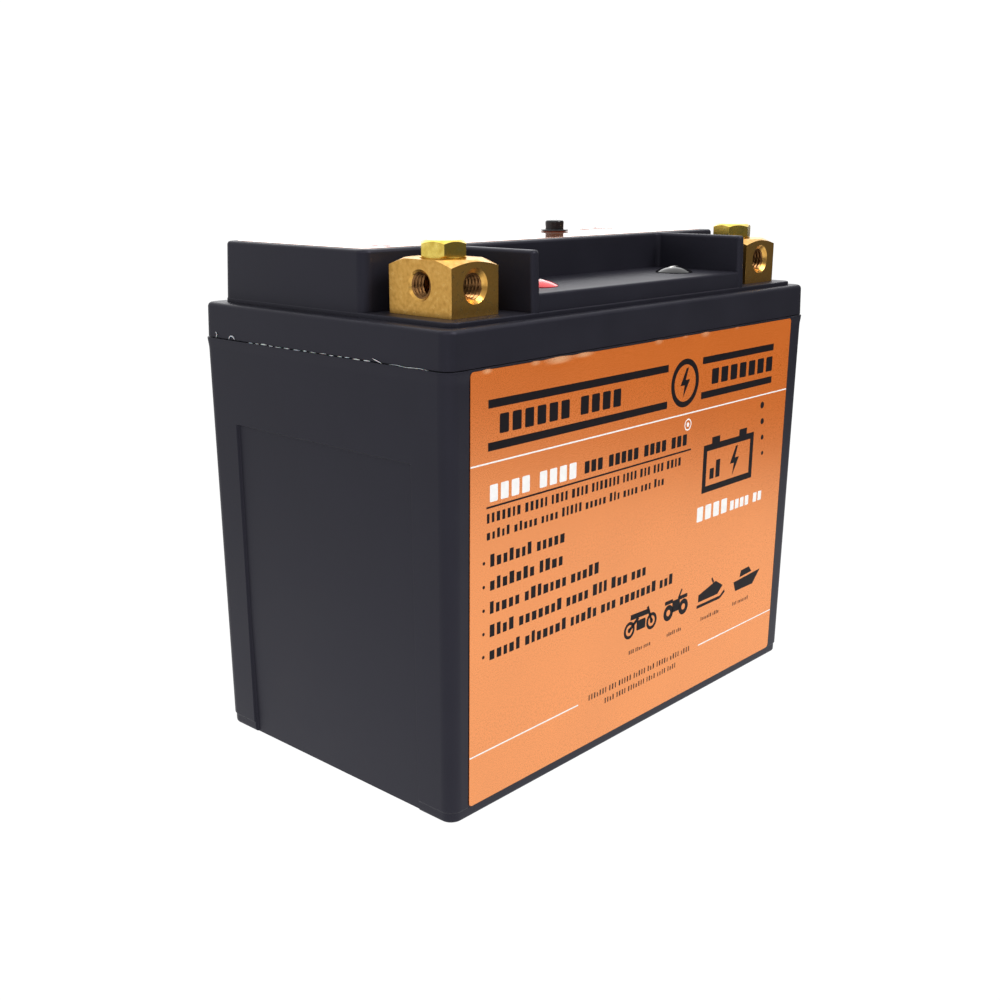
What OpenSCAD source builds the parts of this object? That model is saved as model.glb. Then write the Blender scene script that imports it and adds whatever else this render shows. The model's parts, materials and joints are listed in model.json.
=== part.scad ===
// Motorcycle starter battery: sealed box of twelve cylindrical cells with two
// square brass terminals. Millimetres, +Z up, origin at the centre of the base.
// +X runs along the label face, -Y is the label face, -X is the positive end.

/* [Case] */
// Overall length along the label face
case_l = 150; // [148:1:160]
// Overall width across the end face
case_w = 87; // [87:1:95]
// Height of the case up to the lid seam
case_h = 105.4; // [102:0.2:112]
// How far each wall leans in from the rim down to the base
draft = 0.93; // [0.4:0.01:1.2]
// Wall thickness of the case at the base
wall_t = 2.3; // [1.8:0.1:2.4]
// Thickness of the case floor
floor_t = 2.4; // [1.6:0.1:2.6]
// Radius of the upright corners of the case
corner_r = 3.5; // [2.5:0.1:4]
// Width of the recessed panel on each end face
panel_w = 63.2; // [50:0.2:70]
// Height of the top of the recessed end panel
panel_top = 84.5; // [60:0.5:92]
// Depth of the recessed end panel
panel_depth = 0.7; // [0.3:0.1:0.9]

/* [Lid] */
// Height of the ledge that runs round the lid
ledge_z = 114.1; // [112:0.1:116]
// Height of the raised back part of the lid
top_z = 129; // [126:0.1:131]
// Width of the ledge at the two ends
ledge_end = 4.2; // [3.6:0.1:4.6]
// Width of the ledge at the label side
ledge_front = 3; // [2.6:0.1:3.6]
// Width of the ledge at the back
ledge_back = 4; // [3.6:0.1:5]
// Depth of the front recesses, from the label side of the case
recess_depth = 30.3; // [29.8:0.1:31]
// Height of the step that each terminal stands on, above the ledge
plinth_h = 1.1; // [0.8:0.1:1.2]
// Height of the middle platform above the ledge
platform_h = 5.3; // [4:0.1:6]
// Outer face of each thin wall beside the platform, from the middle
rib_x = 44.6; // [44:0.1:44.8]
// Thickness of the two thin walls
rib_t = 2.8; // [2:0.1:3]

/* [Terminals] */
// Distance of each terminal axis from the middle, along X
term_x = 58.6; // [58:0.1:59]
// Place of the terminal axes along Y
term_y = -26.2; // [-26.4:0.1:-26]
// How far the negative terminal is set towards the end of the battery
negative_out = 0.6; // [0:0.1:0.8]
// How far the negative terminal is set towards the label
negative_forward = 0.5; // [0:0.1:0.6]
// Size of the brass block along X
block_l = 14.8; // [14:0.1:15]
// Size of the brass block along Y
block_w = 19.4; // [18:0.1:20]
// Height of the brass block
block_h = 12.25; // [12:0.05:13]
// Radius of the M6 tapped holes
m6_r = 3; // [2.9:0.01:3.05]
// Height of the cross holes above the bottom of the block
cross_hole_h = 6.6; // [6:0.1:7]
// Length of the bolt under its head
bolt_len = 10; // [8:0.5:10]
// Width of the bolt head across its flats
head_af = 9.8; // [9.5:0.1:10]
// Height of the bolt head
head_h = 3.6; // [3:0.1:4]

/* [Label and button] */
// Length of the front label
label_l = 134.9; // [120:0.1:138]
// Height of the front label
label_h = 102; // [80:0.5:102.5]
// Place of the middle of the front label along X
label_x = -0.65; // [-1:0.05:0]
// Height of the bottom edge of the front label
label_z = 2.9; // [2.5:0.1:3.2]
// Thickness of the labels
label_t = 0.2; // [0.1:0.05:0.3]
// Place of the test button along X
button_x = 25.1; // [20:0.1:27]
// Place of the test button along Y
button_y = 11.5; // [8:0.1:16]
// Radius of the button cap
button_r = 2.65; // [2.4:0.05:2.7]
// How far the cap stands above the lid
button_h = 3.2; // [2.6:0.1:3.6]
// How far the button travels
button_travel = 1; // [0.6:0.1:1.2]

/* [Cells] */
// Radius of one cell
cell_r = 13.1; // [12.6:0.05:13.12]
// Length of one cell without its raised contact
cell_h = 64.4; // [60:0.1:65]
// Distance between cells in one string
cell_pitch_y = 26.4; // [26.35:0.01:26.5]
// Distance between strings
cell_pitch_x = 27.2; // [26.6:0.1:28]
// Height of the bottom of the cells
cell_z = 7; // [6.5:0.1:8]

/* [Hidden] */

$fn = 48;
eps = 0.01;          // overlap that joins or cuts cleanly
gap = 0.02;          // air left between faces that only rest on each other
cut_out = 5;         // how far a cutting shape runs out past what it cuts
shell_fn = 32;       // facets of the corners of the drafted shells
slice_t = 0.01;      // thickness of the plates that a drafted shell is drawn over
arc_step = 1 - cos(45);   // middle of a quarter arc, as a share of its radius

// colours
c_case = [0.10, 0.10, 0.11];
c_label = [0.93, 0.52, 0.28];
c_brass = [0.80, 0.62, 0.28];
c_bolt = [0.86, 0.72, 0.24];
c_board = [0.06, 0.32, 0.18];
c_nickel = [0.75, 0.75, 0.73];
c_foam = [0.18, 0.18, 0.19];
c_cell = [0.16, 0.36, 0.62];

// case
lean = atan(draft / case_h);
cavity_l = case_l - 2 * (draft + wall_t);
cavity_w = case_w - 2 * (draft + wall_t);
cavity_r = 2;
base_step_z = 3;                 // height of the small step above the base
base_step_in = 0.5;              // how far the base is set in below it
base_round = 0.8;                // rounding of the bottom edge
step_blend = 0.4;                // height over which the wall steps out above the base
label_recess = 0.26;             // depth of the seat that holds the front label
label_margin = 0.3;              // room round the label in its seat
top_label_in = 2.5;              // top label set in from the edges of the raised part
top_label_r = 2;                 // corners of the top label

// lid
seal_t = 0.3;                    // thickness of the bead in the seam
seal_in = 0.8;                   // bead set in from the case rim
lid_z = case_h + seal_t;
lid_t = 2.4;                     // thickness of the lid walls
ledge_round = 1.15;              // edge rounding at the ledge
skirt_in = 0.35;                 // lid set in from the case rim at the seam
ledge_in = 0.57;                 // lid set in from the case rim at the ledge
tongue_h = 4;                    // tongue that locates the lid in the case
tongue_t = 1.6;
tongue_gap = 0.15;
raised_l = case_l - 2 * ledge_end;
raised_front = -case_w / 2 + ledge_front;
raised_back = case_w / 2 - ledge_back;
back_wall_y = -case_w / 2 + recess_depth;
plinth_z = ledge_z + plinth_h;
platform_z = ledge_z + platform_h;
recess_roof_z = 111.5;           // underside of the terminal corners
outer_r = 2.5;                   // upright corners of the raised part
hole_clear = 0.1;

// terminals
stem_r = 4;                      // M8 stem under the block
stem_bottom_z = 103;
tap_run = 2.4;                   // depth of the upright hole below the tip of the bolt
block_top_z = plinth_z + block_h;
cone_r = 8.8;                    // radius at which the conical top chamfer starts
cone_angle = 24;
cone_h = 6;                      // height of the part of the block that is cone-turned
thread_stop = m6_r + 0.3;        // full thread of a cross hole ends here, from the axis
drill_r = 2.5;                   // cross holes are only drilled from there to the axis
sink_side_r = 3.6;               // mouth of the side hole
sink_front_r = 3.9;              // mouth of the front hole
washer_t = 0.3;
washer_r = 5.2;
shank_r = m6_r - 0.05;
head_top_r = 4.45;               // foot of the chamfer on top of the head
head_low_r = 5.2;                // foot of the chamfer under the head
head_slope = 33;                 // slope of both chamfers
head_turn = [47, 36.5];          // how the positive and the negative hexagon stand at rest
head_z = block_top_z + washer_t + 2 * gap;
seal_r = 5.2;                    // centre circle of the sealing ring
seal_wire_r = 0.9;
seal_seat = 1.7;                 // depth of the seat that the ring lies in
lug_z = recess_roof_z - 1.3;
lug_t = 1.2;
lug_r = 7.2;
lug_tail_w = 6;                  // width of the tail between the ring and the barrel
nut_h = 5.5;
nut_af = 13;
barrel_z = lug_z - 1.6;          // axis of the crimp barrel
barrel_x = 12;                   // start of the barrel from the terminal axis
barrel_len = 8;
barrel_r = 2.7;
lead_r = 2;

// markers
marker_x = 28.65;
marker_y = -28;
marker_r = 5;
marker_h = 1.9;

// button and lights
bush_r = 3.2;
flange_r = 4;
flange_t = 0.4;
flange_z = top_z + label_t + gap;
bush_bottom_z = 122;
collar_r = 3;
collar_h = 2;
collar_z = bush_bottom_z - gap - 0.1 - collar_h;
cap_round = 0.55;
plunger_r = 1.2;
spring_r = 2.1;
spring_wire_r = 0.22;
tag_x = 2.1;
tag_h = 4.5;
switch_side = 9;
switch_z = 113;
switch_bore_z = 115;
button_nut_h = 1.8;
button_nut_af = 9;
lid_roof_z = top_z - lid_t - 0.2;
light_y = button_y;
light_xs = [39, 45, 51];
light_r = 1.5;
board_z = 119.9;
board_t = 1.6;
board_x = 45.7;
board_l = 30.4;
board_w = 12;
screw_xs = [33.3, 58];
boss_r = 2.6;
screw_r = 0.75;
screw_head_h = 1.6;
boss_z = board_z + board_t;

// cells and management board
string_x = [for (i = [-1.5, -0.5, 0.5, 1.5]) i * cell_pitch_x];
cell_ys = [for (i = [-1, 0, 1]) i * cell_pitch_y];
nub_r = 4.5;
nub_h = 0.6;
cell_top_z = cell_z + cell_h + nub_h;
bus_t = 0.3;
bus_w = 9;
holder_t = 6;
holder_l = 3 * cell_pitch_x + 2 * cell_r + 3;
holder_w = cavity_w - 0.4;
holder_in = 3;                   // holder edge to cell end
sheet_z = cell_top_z + bus_t + 0.1;
sheet_t = 0.4;
mb_z = sheet_z + sheet_t + 4;
mb_t = 1.6;
mb_x = 15;
mb_l = 66;
mb_w = 50;
foam_t = 3.6;
end_foam_h = 70;
link_y = 17;                     // place of the copper link on the last string
link_r = 2.6;
sense_y = 33;                    // row of the balance leads' weld points
lead_pad = [-41, -5];            // where the positive lead meets the first string

// parts on the management board: corner x and y, size along x, y and z
chip_row = [for (i = [0 : 4]) [-27 + i * 11, -12, 9, 9, 2.3]];
tab_row = [for (i = [0 : 4]) [-24 + i * 11, -3.1, 3, 3, 1]];
controller = [-20, 4, 8, 8, 1.4];
lead_socket = [-6, 16, 16, 5, 3];
cable_socket = [28, 13, 8, 6, 3.2];

// routes of the wires, by hand
positive_route = [[-38.5, -26.2, 108.6], [-33, -26.2, 107], [-29, -23, 99],
    [-29, -16, 90], [-34, -8, 84], [-41, -5, 79.5], [-41, -5, 76], [-41, -5, 72.6]];
negative_route = [[39.1, -26.7, 108.6], [33.4, -26.6, 107], [30, -25, 101],
    [30, -21, 94], [35, -17.5, 87], [36, -17, 82.5], [36, -17, 78.8]];
switch_route_a = [[23, 11.5, 108.2], [23, 11.5, 105], [27, 8, 103.5], [33, 8, 107],
    [36, 9, 113], [36, 9, 119.5]];
switch_route_b = [[27.2, 11.5, 108.2], [27.2, 11.5, 105], [32, 14, 104.5], [37, 14, 109],
    [39, 14, 114], [39, 14, 119.5]];
cable_route = [[48, 12, 119.6], [48, 12, 115], [44, 14, 106], [36, 16, 97], [32, 16, 88],
    [32, 16, 80.2]];

// ---- shapes that repeat ----

// box with round upright corners, centred on Z at height z
module round_box(l, w, z, h, r) {
    translate([0, 0, z])
        linear_extrude(h)
            union() {
                square([l - 2 * r, w], center = true);
                square([l, w - 2 * r], center = true);
                for (x = [-1, 1], y = [-1, 1])
                    translate([x * (l / 2 - r), y * (w / 2 - r)]) circle(r);
            }
}

// the same box placed by its edges in Y
module round_span(l, y0, y1, z, h, r) {
    translate([0, (y0 + y1) / 2, 0]) round_box(l, y1 - y0, z, h, r);
}

// thin plate used as a rib of a drafted shell
module shell_slice(inset, z, r) {
    translate([0, 0, z])
        linear_extrude(slice_t)
            for (x = [-1, 1], y = [-1, 1])
                translate([x * (case_l / 2 - inset - r), y * (case_w / 2 - inset - r)])
                    circle(r, $fn = shell_fn);
}

// hexagonal prism by its width across flats
module hex_prism(af, h) {
    cylinder(h = h, r = af / 2 / cos(30), $fn = 6);
}

// place of a terminal axis, side is -1 for positive and 1 for negative
function terminal_at(side) =
    side > 0 ? [term_x + negative_out, term_y - negative_forward, 0] : [-term_x, term_y, 0];

module at_terminal(side) {
    translate(terminal_at(side)) mirror([side > 0 ? 1 : 0, 0, 0]) children();
}

// point on a smooth curve through four points
function blend_point(a, b, c, d, t) =
    0.5 * (2 * b + (c - a) * t + (2 * a - 5 * b + 4 * c - d) * t * t
        + (3 * b - a - 3 * c + d) * t * t * t);

// smooth route through hand-chosen points, steps points per stretch
function smooth_route(p, steps) = [
    for (i = [0 : len(p) - 2], j = [0 : steps - 1])
        blend_point(p[max(i - 1, 0)], p[i], p[i + 1], p[min(i + 2, len(p) - 1)], j / steps),
    p[len(p) - 1]
];

function unit(v) = v / norm(v);
function route_dir(p, i) = unit(p[min(i + 1, len(p) - 1)] - p[max(i - 1, 0)]);
function side_dir(d) = unit(cross(d, abs(d[1]) < 0.9 ? [0, 1, 0] : [1, 0, 0]));

// round wire swept along a route
module wire(route, r, sides = 8, steps = 4) {
    p = smooth_route(route, steps);
    n = len(p);
    rings = [
        for (i = [0 : n - 1])
            let (d = route_dir(p, i), u = side_dir(d), v = cross(d, u))
                for (k = [0 : sides - 1])
                    p[i] + r * (cos(360 * k / sides) * u + sin(360 * k / sides) * v)
    ];
    ends = [[for (k = [0 : sides - 1]) k], [for (k = [0 : sides - 1]) n * sides - 1 - k]];
    walls = [
        for (i = [0 : n - 2], k = [0 : sides - 1])
            [i * sides + k, (i + 1) * sides + k,
             (i + 1) * sides + (k + 1) % sides, i * sides + (k + 1) % sides]
    ];
    polyhedron(points = rings, faces = concat(ends, walls));
}

// ---- case and lid ----

module case() {
    color(c_case)
        difference() {
            union() {
                hull() {
                    shell_slice(draft * (1 - base_step_z / case_h), base_step_z - step_blend, corner_r);
                    shell_slice(0, case_h - slice_t, corner_r);
                }
                hull() {
                    shell_slice(draft + base_step_in + base_round, 0, corner_r - base_round);
                    shell_slice(draft + base_step_in, base_round, corner_r);
                    shell_slice(draft + base_step_in, base_step_z, corner_r);
                }
            }
            round_box(cavity_l, cavity_w, floor_t, case_h, cavity_r);
            for (side = [-1, 1])
                translate([side * case_l / 2, 0, case_h])
                    rotate([0, side * lean, 0])
                        translate([-panel_depth, -panel_w / 2, -case_h - cut_out])
                            cube([2 * panel_depth, panel_w, panel_top + cut_out]);
            label_plane()
                translate([label_x - label_l / 2 - label_margin, -cut_out, label_z - label_margin])
                    cube([label_l + 2 * label_margin, cut_out + label_recess, case_h]);
        }
}

// frame on the leaning front face: y = 0 on the face, z along it from the base
module label_plane() {
    translate([0, -case_w / 2, case_h])
        rotate([lean, 0, 0])
            translate([0, 0, -case_h])
                children();
}

module front_label() {
    color(c_label)
        label_plane()
            translate([label_x - label_l / 2, label_recess - gap - label_t, label_z])
                cube([label_l, label_t, label_h]);
}

module seam_sealant() {
    color([0.85, 0.85, 0.82])
        difference() {
            round_box(case_l - 2 * seal_in, case_w - 2 * seal_in, case_h, seal_t, corner_r - seal_in);
            round_box(cavity_l, cavity_w, case_h - 1, seal_t + 2, cavity_r);
        }
}

module lid_outside() {
    hull() {
        shell_slice(skirt_in, lid_z, corner_r);
        shell_slice(ledge_in, ledge_z - ledge_round, corner_r);
        shell_slice(ledge_in + arc_step * ledge_round, ledge_z - arc_step * ledge_round, corner_r);
        shell_slice(ledge_in + ledge_round, ledge_z - slice_t, corner_r - ledge_round / 2);
    }
    round_span(raised_l, raised_front, raised_back, ledge_z - 1, plinth_h + 1, outer_r);
    round_span(raised_l, back_wall_y, raised_back, ledge_z - 1, top_z - ledge_z + 1, outer_r);
    translate([-rib_x + rib_t / 2, raised_front, ledge_z - 1])
        cube([2 * rib_x - rib_t, recess_depth, platform_h + 1]);
    for (side = [-1, 1])
        translate([side * (rib_x - rib_t / 2) - rib_t / 2, raised_front, ledge_z - 1])
            cube([rib_t, recess_depth, top_z - ledge_z + 1]);
}

module lid_inside() {
    round_box(cavity_l - 2 * tongue_t, cavity_w - 2 * tongue_t, lid_z - tongue_h - 1,
        recess_roof_z - lid_z + tongue_h + 1, 1);
    round_span(raised_l - 2 * lid_t, back_wall_y + lid_t, raised_back - lid_t,
        recess_roof_z - 1, lid_roof_z - recess_roof_z + 1, 1);
    translate([-rib_x + rib_t + 1, raised_front + lid_t, recess_roof_z - 1])
        cube([2 * (rib_x - rib_t - 1), recess_depth, platform_z - lid_t - recess_roof_z + 1]);
}

module lid() {
    color(c_case)
        difference() {
            union() {
                lid_outside();
                round_box(cavity_l - 2 * tongue_gap, cavity_w - 2 * tongue_gap,
                    lid_z - tongue_h, tongue_h + 1, cavity_r);
            }
            difference() {
                lid_inside();
                for (x = screw_xs)
                    translate([x, light_y, boss_z]) cylinder(h = 10, r = boss_r);
            }
            for (side = [-1, 1])
                at_terminal(side) {
                    translate([0, 0, recess_roof_z - 1])
                        cylinder(h = 10, r = stem_r + hole_clear);
                    translate([0, 0, plinth_z - seal_seat])
                        cylinder(h = 5, r = seal_r + seal_wire_r + 0.05);
                }
            translate([button_x, button_y, lid_roof_z - 1])
                cylinder(h = 10, r = bush_r + hole_clear);
            for (x = light_xs)
                translate([x, light_y, lid_roof_z - 1])
                    cylinder(h = 10, r = light_r + hole_clear);
            for (x = screw_xs)
                translate([x, light_y, boss_z - 1])
                    cylinder(h = 5, r = screw_r + 0.05);
        }
}

module top_label() {
    color(c_label)
        difference() {
            round_span(raised_l - 2 * top_label_in, back_wall_y + top_label_in,
                raised_back - top_label_in, top_z + gap, label_t, top_label_r);
            translate([button_x, button_y, top_z - 1])
                cylinder(h = 3, r = bush_r + hole_clear);
            for (x = light_xs)
                translate([x, light_y, top_z - 1]) cylinder(h = 3, r = light_r);
        }
}

// domed disc on the platform
module marker(side, tint) {
    dome_r = (marker_r * marker_r + marker_h * marker_h) / (2 * marker_h);
    color(tint)
        translate([side * marker_x, marker_y, platform_z + gap])
            intersection() {
                cylinder(h = marker_h, r = marker_r);
                translate([0, 0, marker_h - dome_r]) sphere(dome_r, $fn = 96);
            }
}

// ---- terminals ----

// tapped hole from the middle of the block outwards, drilled only near the axis
module cross_hole(length) {
    cylinder(h = thread_stop + eps, r = drill_r);
    translate([0, 0, thread_stop]) cylinder(h = length, r = m6_r);
}

// brass block with a cone-turned top, cross holes and a threaded stem
module terminal(side) {
    color(c_brass)
        at_terminal(side)
            difference() {
                union() {
                    intersection() {
                        translate([-block_l / 2, -block_w / 2, plinth_z + gap])
                            cube([block_l, block_w, block_h - gap]);
                        translate([0, 0, block_top_z - cone_h])
                            cylinder(h = cone_h, r1 = cone_r + cone_h / tan(cone_angle), r2 = cone_r);
                    }
                    translate([-block_l / 2, -block_w / 2, plinth_z + gap])
                        cube([block_l, block_w, block_h - cone_h]);
                    translate([0, 0, stem_bottom_z])
                        cylinder(h = plinth_z - stem_bottom_z + 1, r = stem_r);
                }
                translate([0, 0, block_top_z - bolt_len - tap_run])
                    cylinder(h = bolt_len + tap_run + cut_out, r = m6_r);
                translate([0, 0, plinth_z + cross_hole_h]) {
                    rotate([0, -90, 0]) cross_hole(block_l);
                    rotate([90, 0, 0]) cross_hole(block_w);
                    translate([-block_l / 2 - eps, 0, 0])
                        rotate([0, 90, 0])
                            cylinder(h = sink_side_r - m6_r, r1 = sink_side_r, r2 = m6_r);
                    translate([0, -block_w / 2 - eps, 0])
                        rotate([-90, 0, 0])
                            cylinder(h = sink_front_r - m6_r, r1 = sink_front_r, r2 = m6_r);
                }
            }
}

module terminal_seal(side) {
    color([0.12, 0.12, 0.12])
        at_terminal(side)
            translate([0, 0, plinth_z - seal_seat + seal_wire_r / 2 + gap])
                difference() {
                    cylinder(h = seal_seat - seal_wire_r / 2 - 2 * gap, r = seal_r + seal_wire_r - 0.05);
                    translate([0, 0, -1]) cylinder(h = 4, r = stem_r + 0.1);
                }
}

module bolt_washer(side) {
    color(c_bolt)
        at_terminal(side)
            translate([0, 0, block_top_z + gap])
                difference() {
                    cylinder(h = washer_t, r = washer_r);
                    translate([0, 0, -1]) cylinder(h = 3, r = m6_r);
                }
}

// hexagon head chamfered above and below, on a plain shank
module bolt(side) {
    flare = head_h / tan(head_slope);
    color(c_bolt)
        at_terminal(side) {
            translate([0, 0, head_z])
                intersection() {
                    rotate([0, 0, head_turn[side > 0 ? 1 : 0]]) hex_prism(head_af, head_h);
                    cylinder(h = head_h, r1 = head_top_r + flare, r2 = head_top_r);
                    cylinder(h = head_h, r1 = head_low_r, r2 = head_low_r + flare);
                }
            translate([0, 0, head_z - bolt_len]) cylinder(h = bolt_len + 1, r = shank_r);
        }
}

module terminal_nut(side) {
    color(c_nickel)
        at_terminal(side)
            translate([0, 0, lug_z - nut_h - gap])
                difference() {
                    hex_prism(nut_af, nut_h);
                    translate([0, 0, -1]) cylinder(h = nut_h + 2, r = stem_r + 0.05);
                }
}

// ring lug with a crimp barrel that points to the middle of the battery
module lug(side) {
    color([0.78, 0.62, 0.50])
        translate(terminal_at(side))
            mirror([side < 0 ? 1 : 0, 0, 0])
                mirror([1, 0, 0])
                    difference() {
                        union() {
                            translate([0, 0, lug_z]) cylinder(h = lug_t, r = lug_r);
                            translate([0, -lug_tail_w / 2, lug_z])
                                cube([barrel_x + 2, lug_tail_w, lug_t]);
                            translate([barrel_x, 0, barrel_z])
                                rotate([0, 90, 0]) cylinder(h = barrel_len, r = barrel_r);
                        }
                        translate([0, 0, lug_z - 1]) cylinder(h = 4, r = stem_r + 0.2);
                        translate([barrel_x - 1, 0, barrel_z])
                            rotate([0, 90, 0]) cylinder(h = barrel_len + 2, r = lead_r);
                    }
}

module positive_lead() {
    color([0.75, 0.08, 0.06]) wire(positive_route, lead_r - 0.1, 10);
}

module negative_lead() {
    color([0.08, 0.08, 0.08]) wire(negative_route, lead_r - 0.1, 10);
}

// ---- cells ----

// one string of three cells, with the raised contact up on the first and third strings
module cell_string(i) {
    up = i % 2 == 0;
    color(c_cell)
        for (y = cell_ys)
            translate([string_x[i], y, cell_z]) {
                translate([0, 0, up ? 0 : nub_h]) cylinder(h = cell_h, r = cell_r);
                translate([0, 0, up ? cell_h - 1 : 0]) cylinder(h = nub_h + 1, r = nub_r);
            }
}

module cell_holder(z) {
    color([0.30, 0.30, 0.32])
        difference() {
            round_box(holder_l, holder_w, z, holder_t, 3);
            for (x = string_x, y = cell_ys)
                translate([x, y, z - 1]) cylinder(h = holder_t + 2, r = cell_r + hole_clear / 2);
        }
}

// plate over strings a to b, with a weld strip across each string
module bus_plate(a, b, z) {
    for (i = [a : b])
        translate([string_x[i] - bus_w / 2, -cell_pitch_y - 6, z])
            cube([bus_w, 2 * cell_pitch_y + 12, bus_t]);
    if (b > a)
        for (y = cell_ys)
            translate([string_x[a], y - 4, z])
                cube([string_x[b] - string_x[a], 8, bus_t]);
}

module top_bus_plates() {
    color(c_nickel) {
        bus_plate(0, 0, cell_top_z + gap);
        bus_plate(1, 2, cell_top_z + gap);
        bus_plate(3, 3, cell_top_z + gap);
    }
}

module bottom_bus_plates() {
    color(c_nickel) {
        bus_plate(0, 1, cell_z - bus_t - gap);
        bus_plate(2, 3, cell_z - bus_t - gap);
    }
}

module base_foam() {
    color(c_foam)
        round_box(holder_l, holder_w, floor_t + gap, foam_t, 3);
}

module end_foam() {
    color(c_foam)
        for (side = [-1, 1])
            translate([side * (cavity_l + holder_l) / 4, 0, floor_t + gap])
                linear_extrude(end_foam_h)
                    square([(cavity_l - holder_l) / 2 - 0.6, cavity_w - 4], center = true);
}

module insulating_sheet() {
    color([0.78, 0.72, 0.55])
        difference() {
            round_box(holder_l - 2, holder_w - 2, sheet_z, sheet_t, 3);
            translate([lead_pad[0], lead_pad[1], sheet_z - 1]) cylinder(h = 3, r = 2.1 * lead_r);
            translate([string_x[3], link_y, sheet_z - 1]) cylinder(h = 3, r = link_r + 0.4);
            for (x = string_x)
                translate([x, sense_y, sheet_z - 1]) cylinder(h = 3, r = 2);
        }
}

// ---- management electronics ----

module management_board() {
    color(c_board)
        difference() {
            round_span(mb_l, -mb_w / 2, mb_w / 2, mb_z, mb_t, 1.5);
            for (x = [-1, 1], y = [-1, 1])
                translate([x * (mb_l / 2 - 3.5), y * (mb_w / 2 - 3.5), mb_z - 1])
                    cylinder(h = 4, r = 1.6);
        }
}

// power transistors, shunts and sockets on the board
module management_parts() {
    color([0.13, 0.13, 0.14])
        for (part = concat(chip_row, tab_row, [controller, lead_socket, cable_socket]))
            translate([part[0], part[1], mb_z + mb_t + gap]) cube([part[2], part[3], part[4]]);
}

// short copper link from the last string up to the board
module management_link() {
    color([0.78, 0.50, 0.34])
        translate([string_x[3], link_y, cell_top_z + bus_t + 2 * gap])
            cylinder(h = mb_z - cell_top_z - bus_t - 4 * gap, r = link_r);
}

module balance_leads() {
    color([0.85, 0.80, 0.20])
        for (i = [0 : 3])
            let (x = string_x[i], socket_x = -3 + 3.3 * i)
                wire([[x, sense_y, cell_top_z + bus_t + 0.1], [x, 33.5, 78], [x * 0.6, 32, 82],
                    [socket_x, 27, 83], [socket_x, 22, 79.2]], 0.7, 8, 3);
}

// ---- test button and lights ----

module at_button(z) {
    translate([button_x, button_y, z]) children();
}

module test_button() {
    top = top_z + button_h;
    color([0.07, 0.07, 0.08])
        at_button(0) {
            translate([0, 0, bush_bottom_z - 1.5])
                cylinder(h = top - cap_round - bush_bottom_z + 1.5, r = button_r);
            translate([0, 0, top - cap_round])
                cylinder(h = cap_round, r1 = button_r, r2 = button_r - cap_round);
            translate([0, 0, collar_z]) cylinder(h = collar_h, r = collar_r);
            translate([0, 0, switch_bore_z + 2]) cylinder(h = 4, r = plunger_r);
        }
}

module button_bush() {
    color([0.09, 0.09, 0.10])
        at_button(0)
            difference() {
                union() {
                    translate([0, 0, flange_z]) cylinder(h = flange_t, r = flange_r);
                    translate([0, 0, bush_bottom_z])
                        cylinder(h = flange_z - bush_bottom_z + 0.1, r = bush_r);
                }
                translate([0, 0, bush_bottom_z - 1])
                    cylinder(h = 12, r = button_r + 0.08);
            }
}

module button_nut() {
    color(c_nickel)
        at_button(lid_roof_z - button_nut_h - gap)
            difference() {
                rotate([0, 0, 30]) hex_prism(button_nut_af, button_nut_h);
                translate([0, 0, -1]) cylinder(h = 4, r = bush_r + 0.05);
            }
}

// return spring between the switch floor and the button collar
module button_spring() {
    turns = 4;
    steps = 12;
    bottom = switch_bore_z + 0.3;
    top = collar_z - 0.33;
    coil = [
        for (i = [0 : turns * steps])
            [spring_r * cos(360 * i / steps), spring_r * sin(360 * i / steps),
             bottom + (top - bottom) * i / (turns * steps)]
    ];
    color([0.7, 0.7, 0.72]) at_button(0) wire(coil, spring_wire_r, 6, 1);
}

module button_switch() {
    color([0.12, 0.12, 0.13])
        at_button(switch_z)
            difference() {
                translate([-switch_side / 2, -switch_side / 2, 0])
                    cube([switch_side, switch_side, bush_bottom_z - switch_z - gap]);
                translate([0, 0, switch_bore_z - switch_z])
                    cylinder(h = 10, r = collar_r + 0.1);
            }
}

module switch_tags() {
    color(c_nickel)
        at_button(switch_z - tag_h)
            for (side = [-1, 1])
                translate([side * tag_x - 0.3, -1, 0]) cube([0.6, 2, tag_h - gap]);
}

module switch_leads() {
    color([0.75, 0.08, 0.06]) {
        wire(switch_route_a, 0.6, 8, 3);
        wire(switch_route_b, 0.6, 8, 3);
    }
}

module indicator_board() {
    color(c_board)
        translate([board_x, light_y, 0])
            difference() {
                round_box(board_l, board_w, board_z, board_t - gap, 1);
                for (x = screw_xs)
                    translate([x - board_x, 0, board_z - 1]) cylinder(h = 4, r = 1.1);
            }
}

module indicator_lights() {
    color([0.85, 0.90, 0.85])
        for (x = light_xs)
            translate([x, light_y, boss_z]) {
                cylinder(h = top_z - boss_z - light_r, r = light_r);
                translate([0, 0, top_z - boss_z - light_r]) sphere(light_r);
            }
}

module indicator_screws() {
    color(c_nickel)
        for (x = screw_xs)
            translate([x, light_y, 0]) {
                translate([0, 0, board_z - screw_head_h]) cylinder(h = screw_head_h - gap, r = 2);
                translate([0, 0, board_z - 1]) cylinder(h = 5, r = screw_r);
            }
}

module indicator_cable() {
    color([0.20, 0.20, 0.22]) wire(cable_route, 1.2, 8, 4);
}

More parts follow.
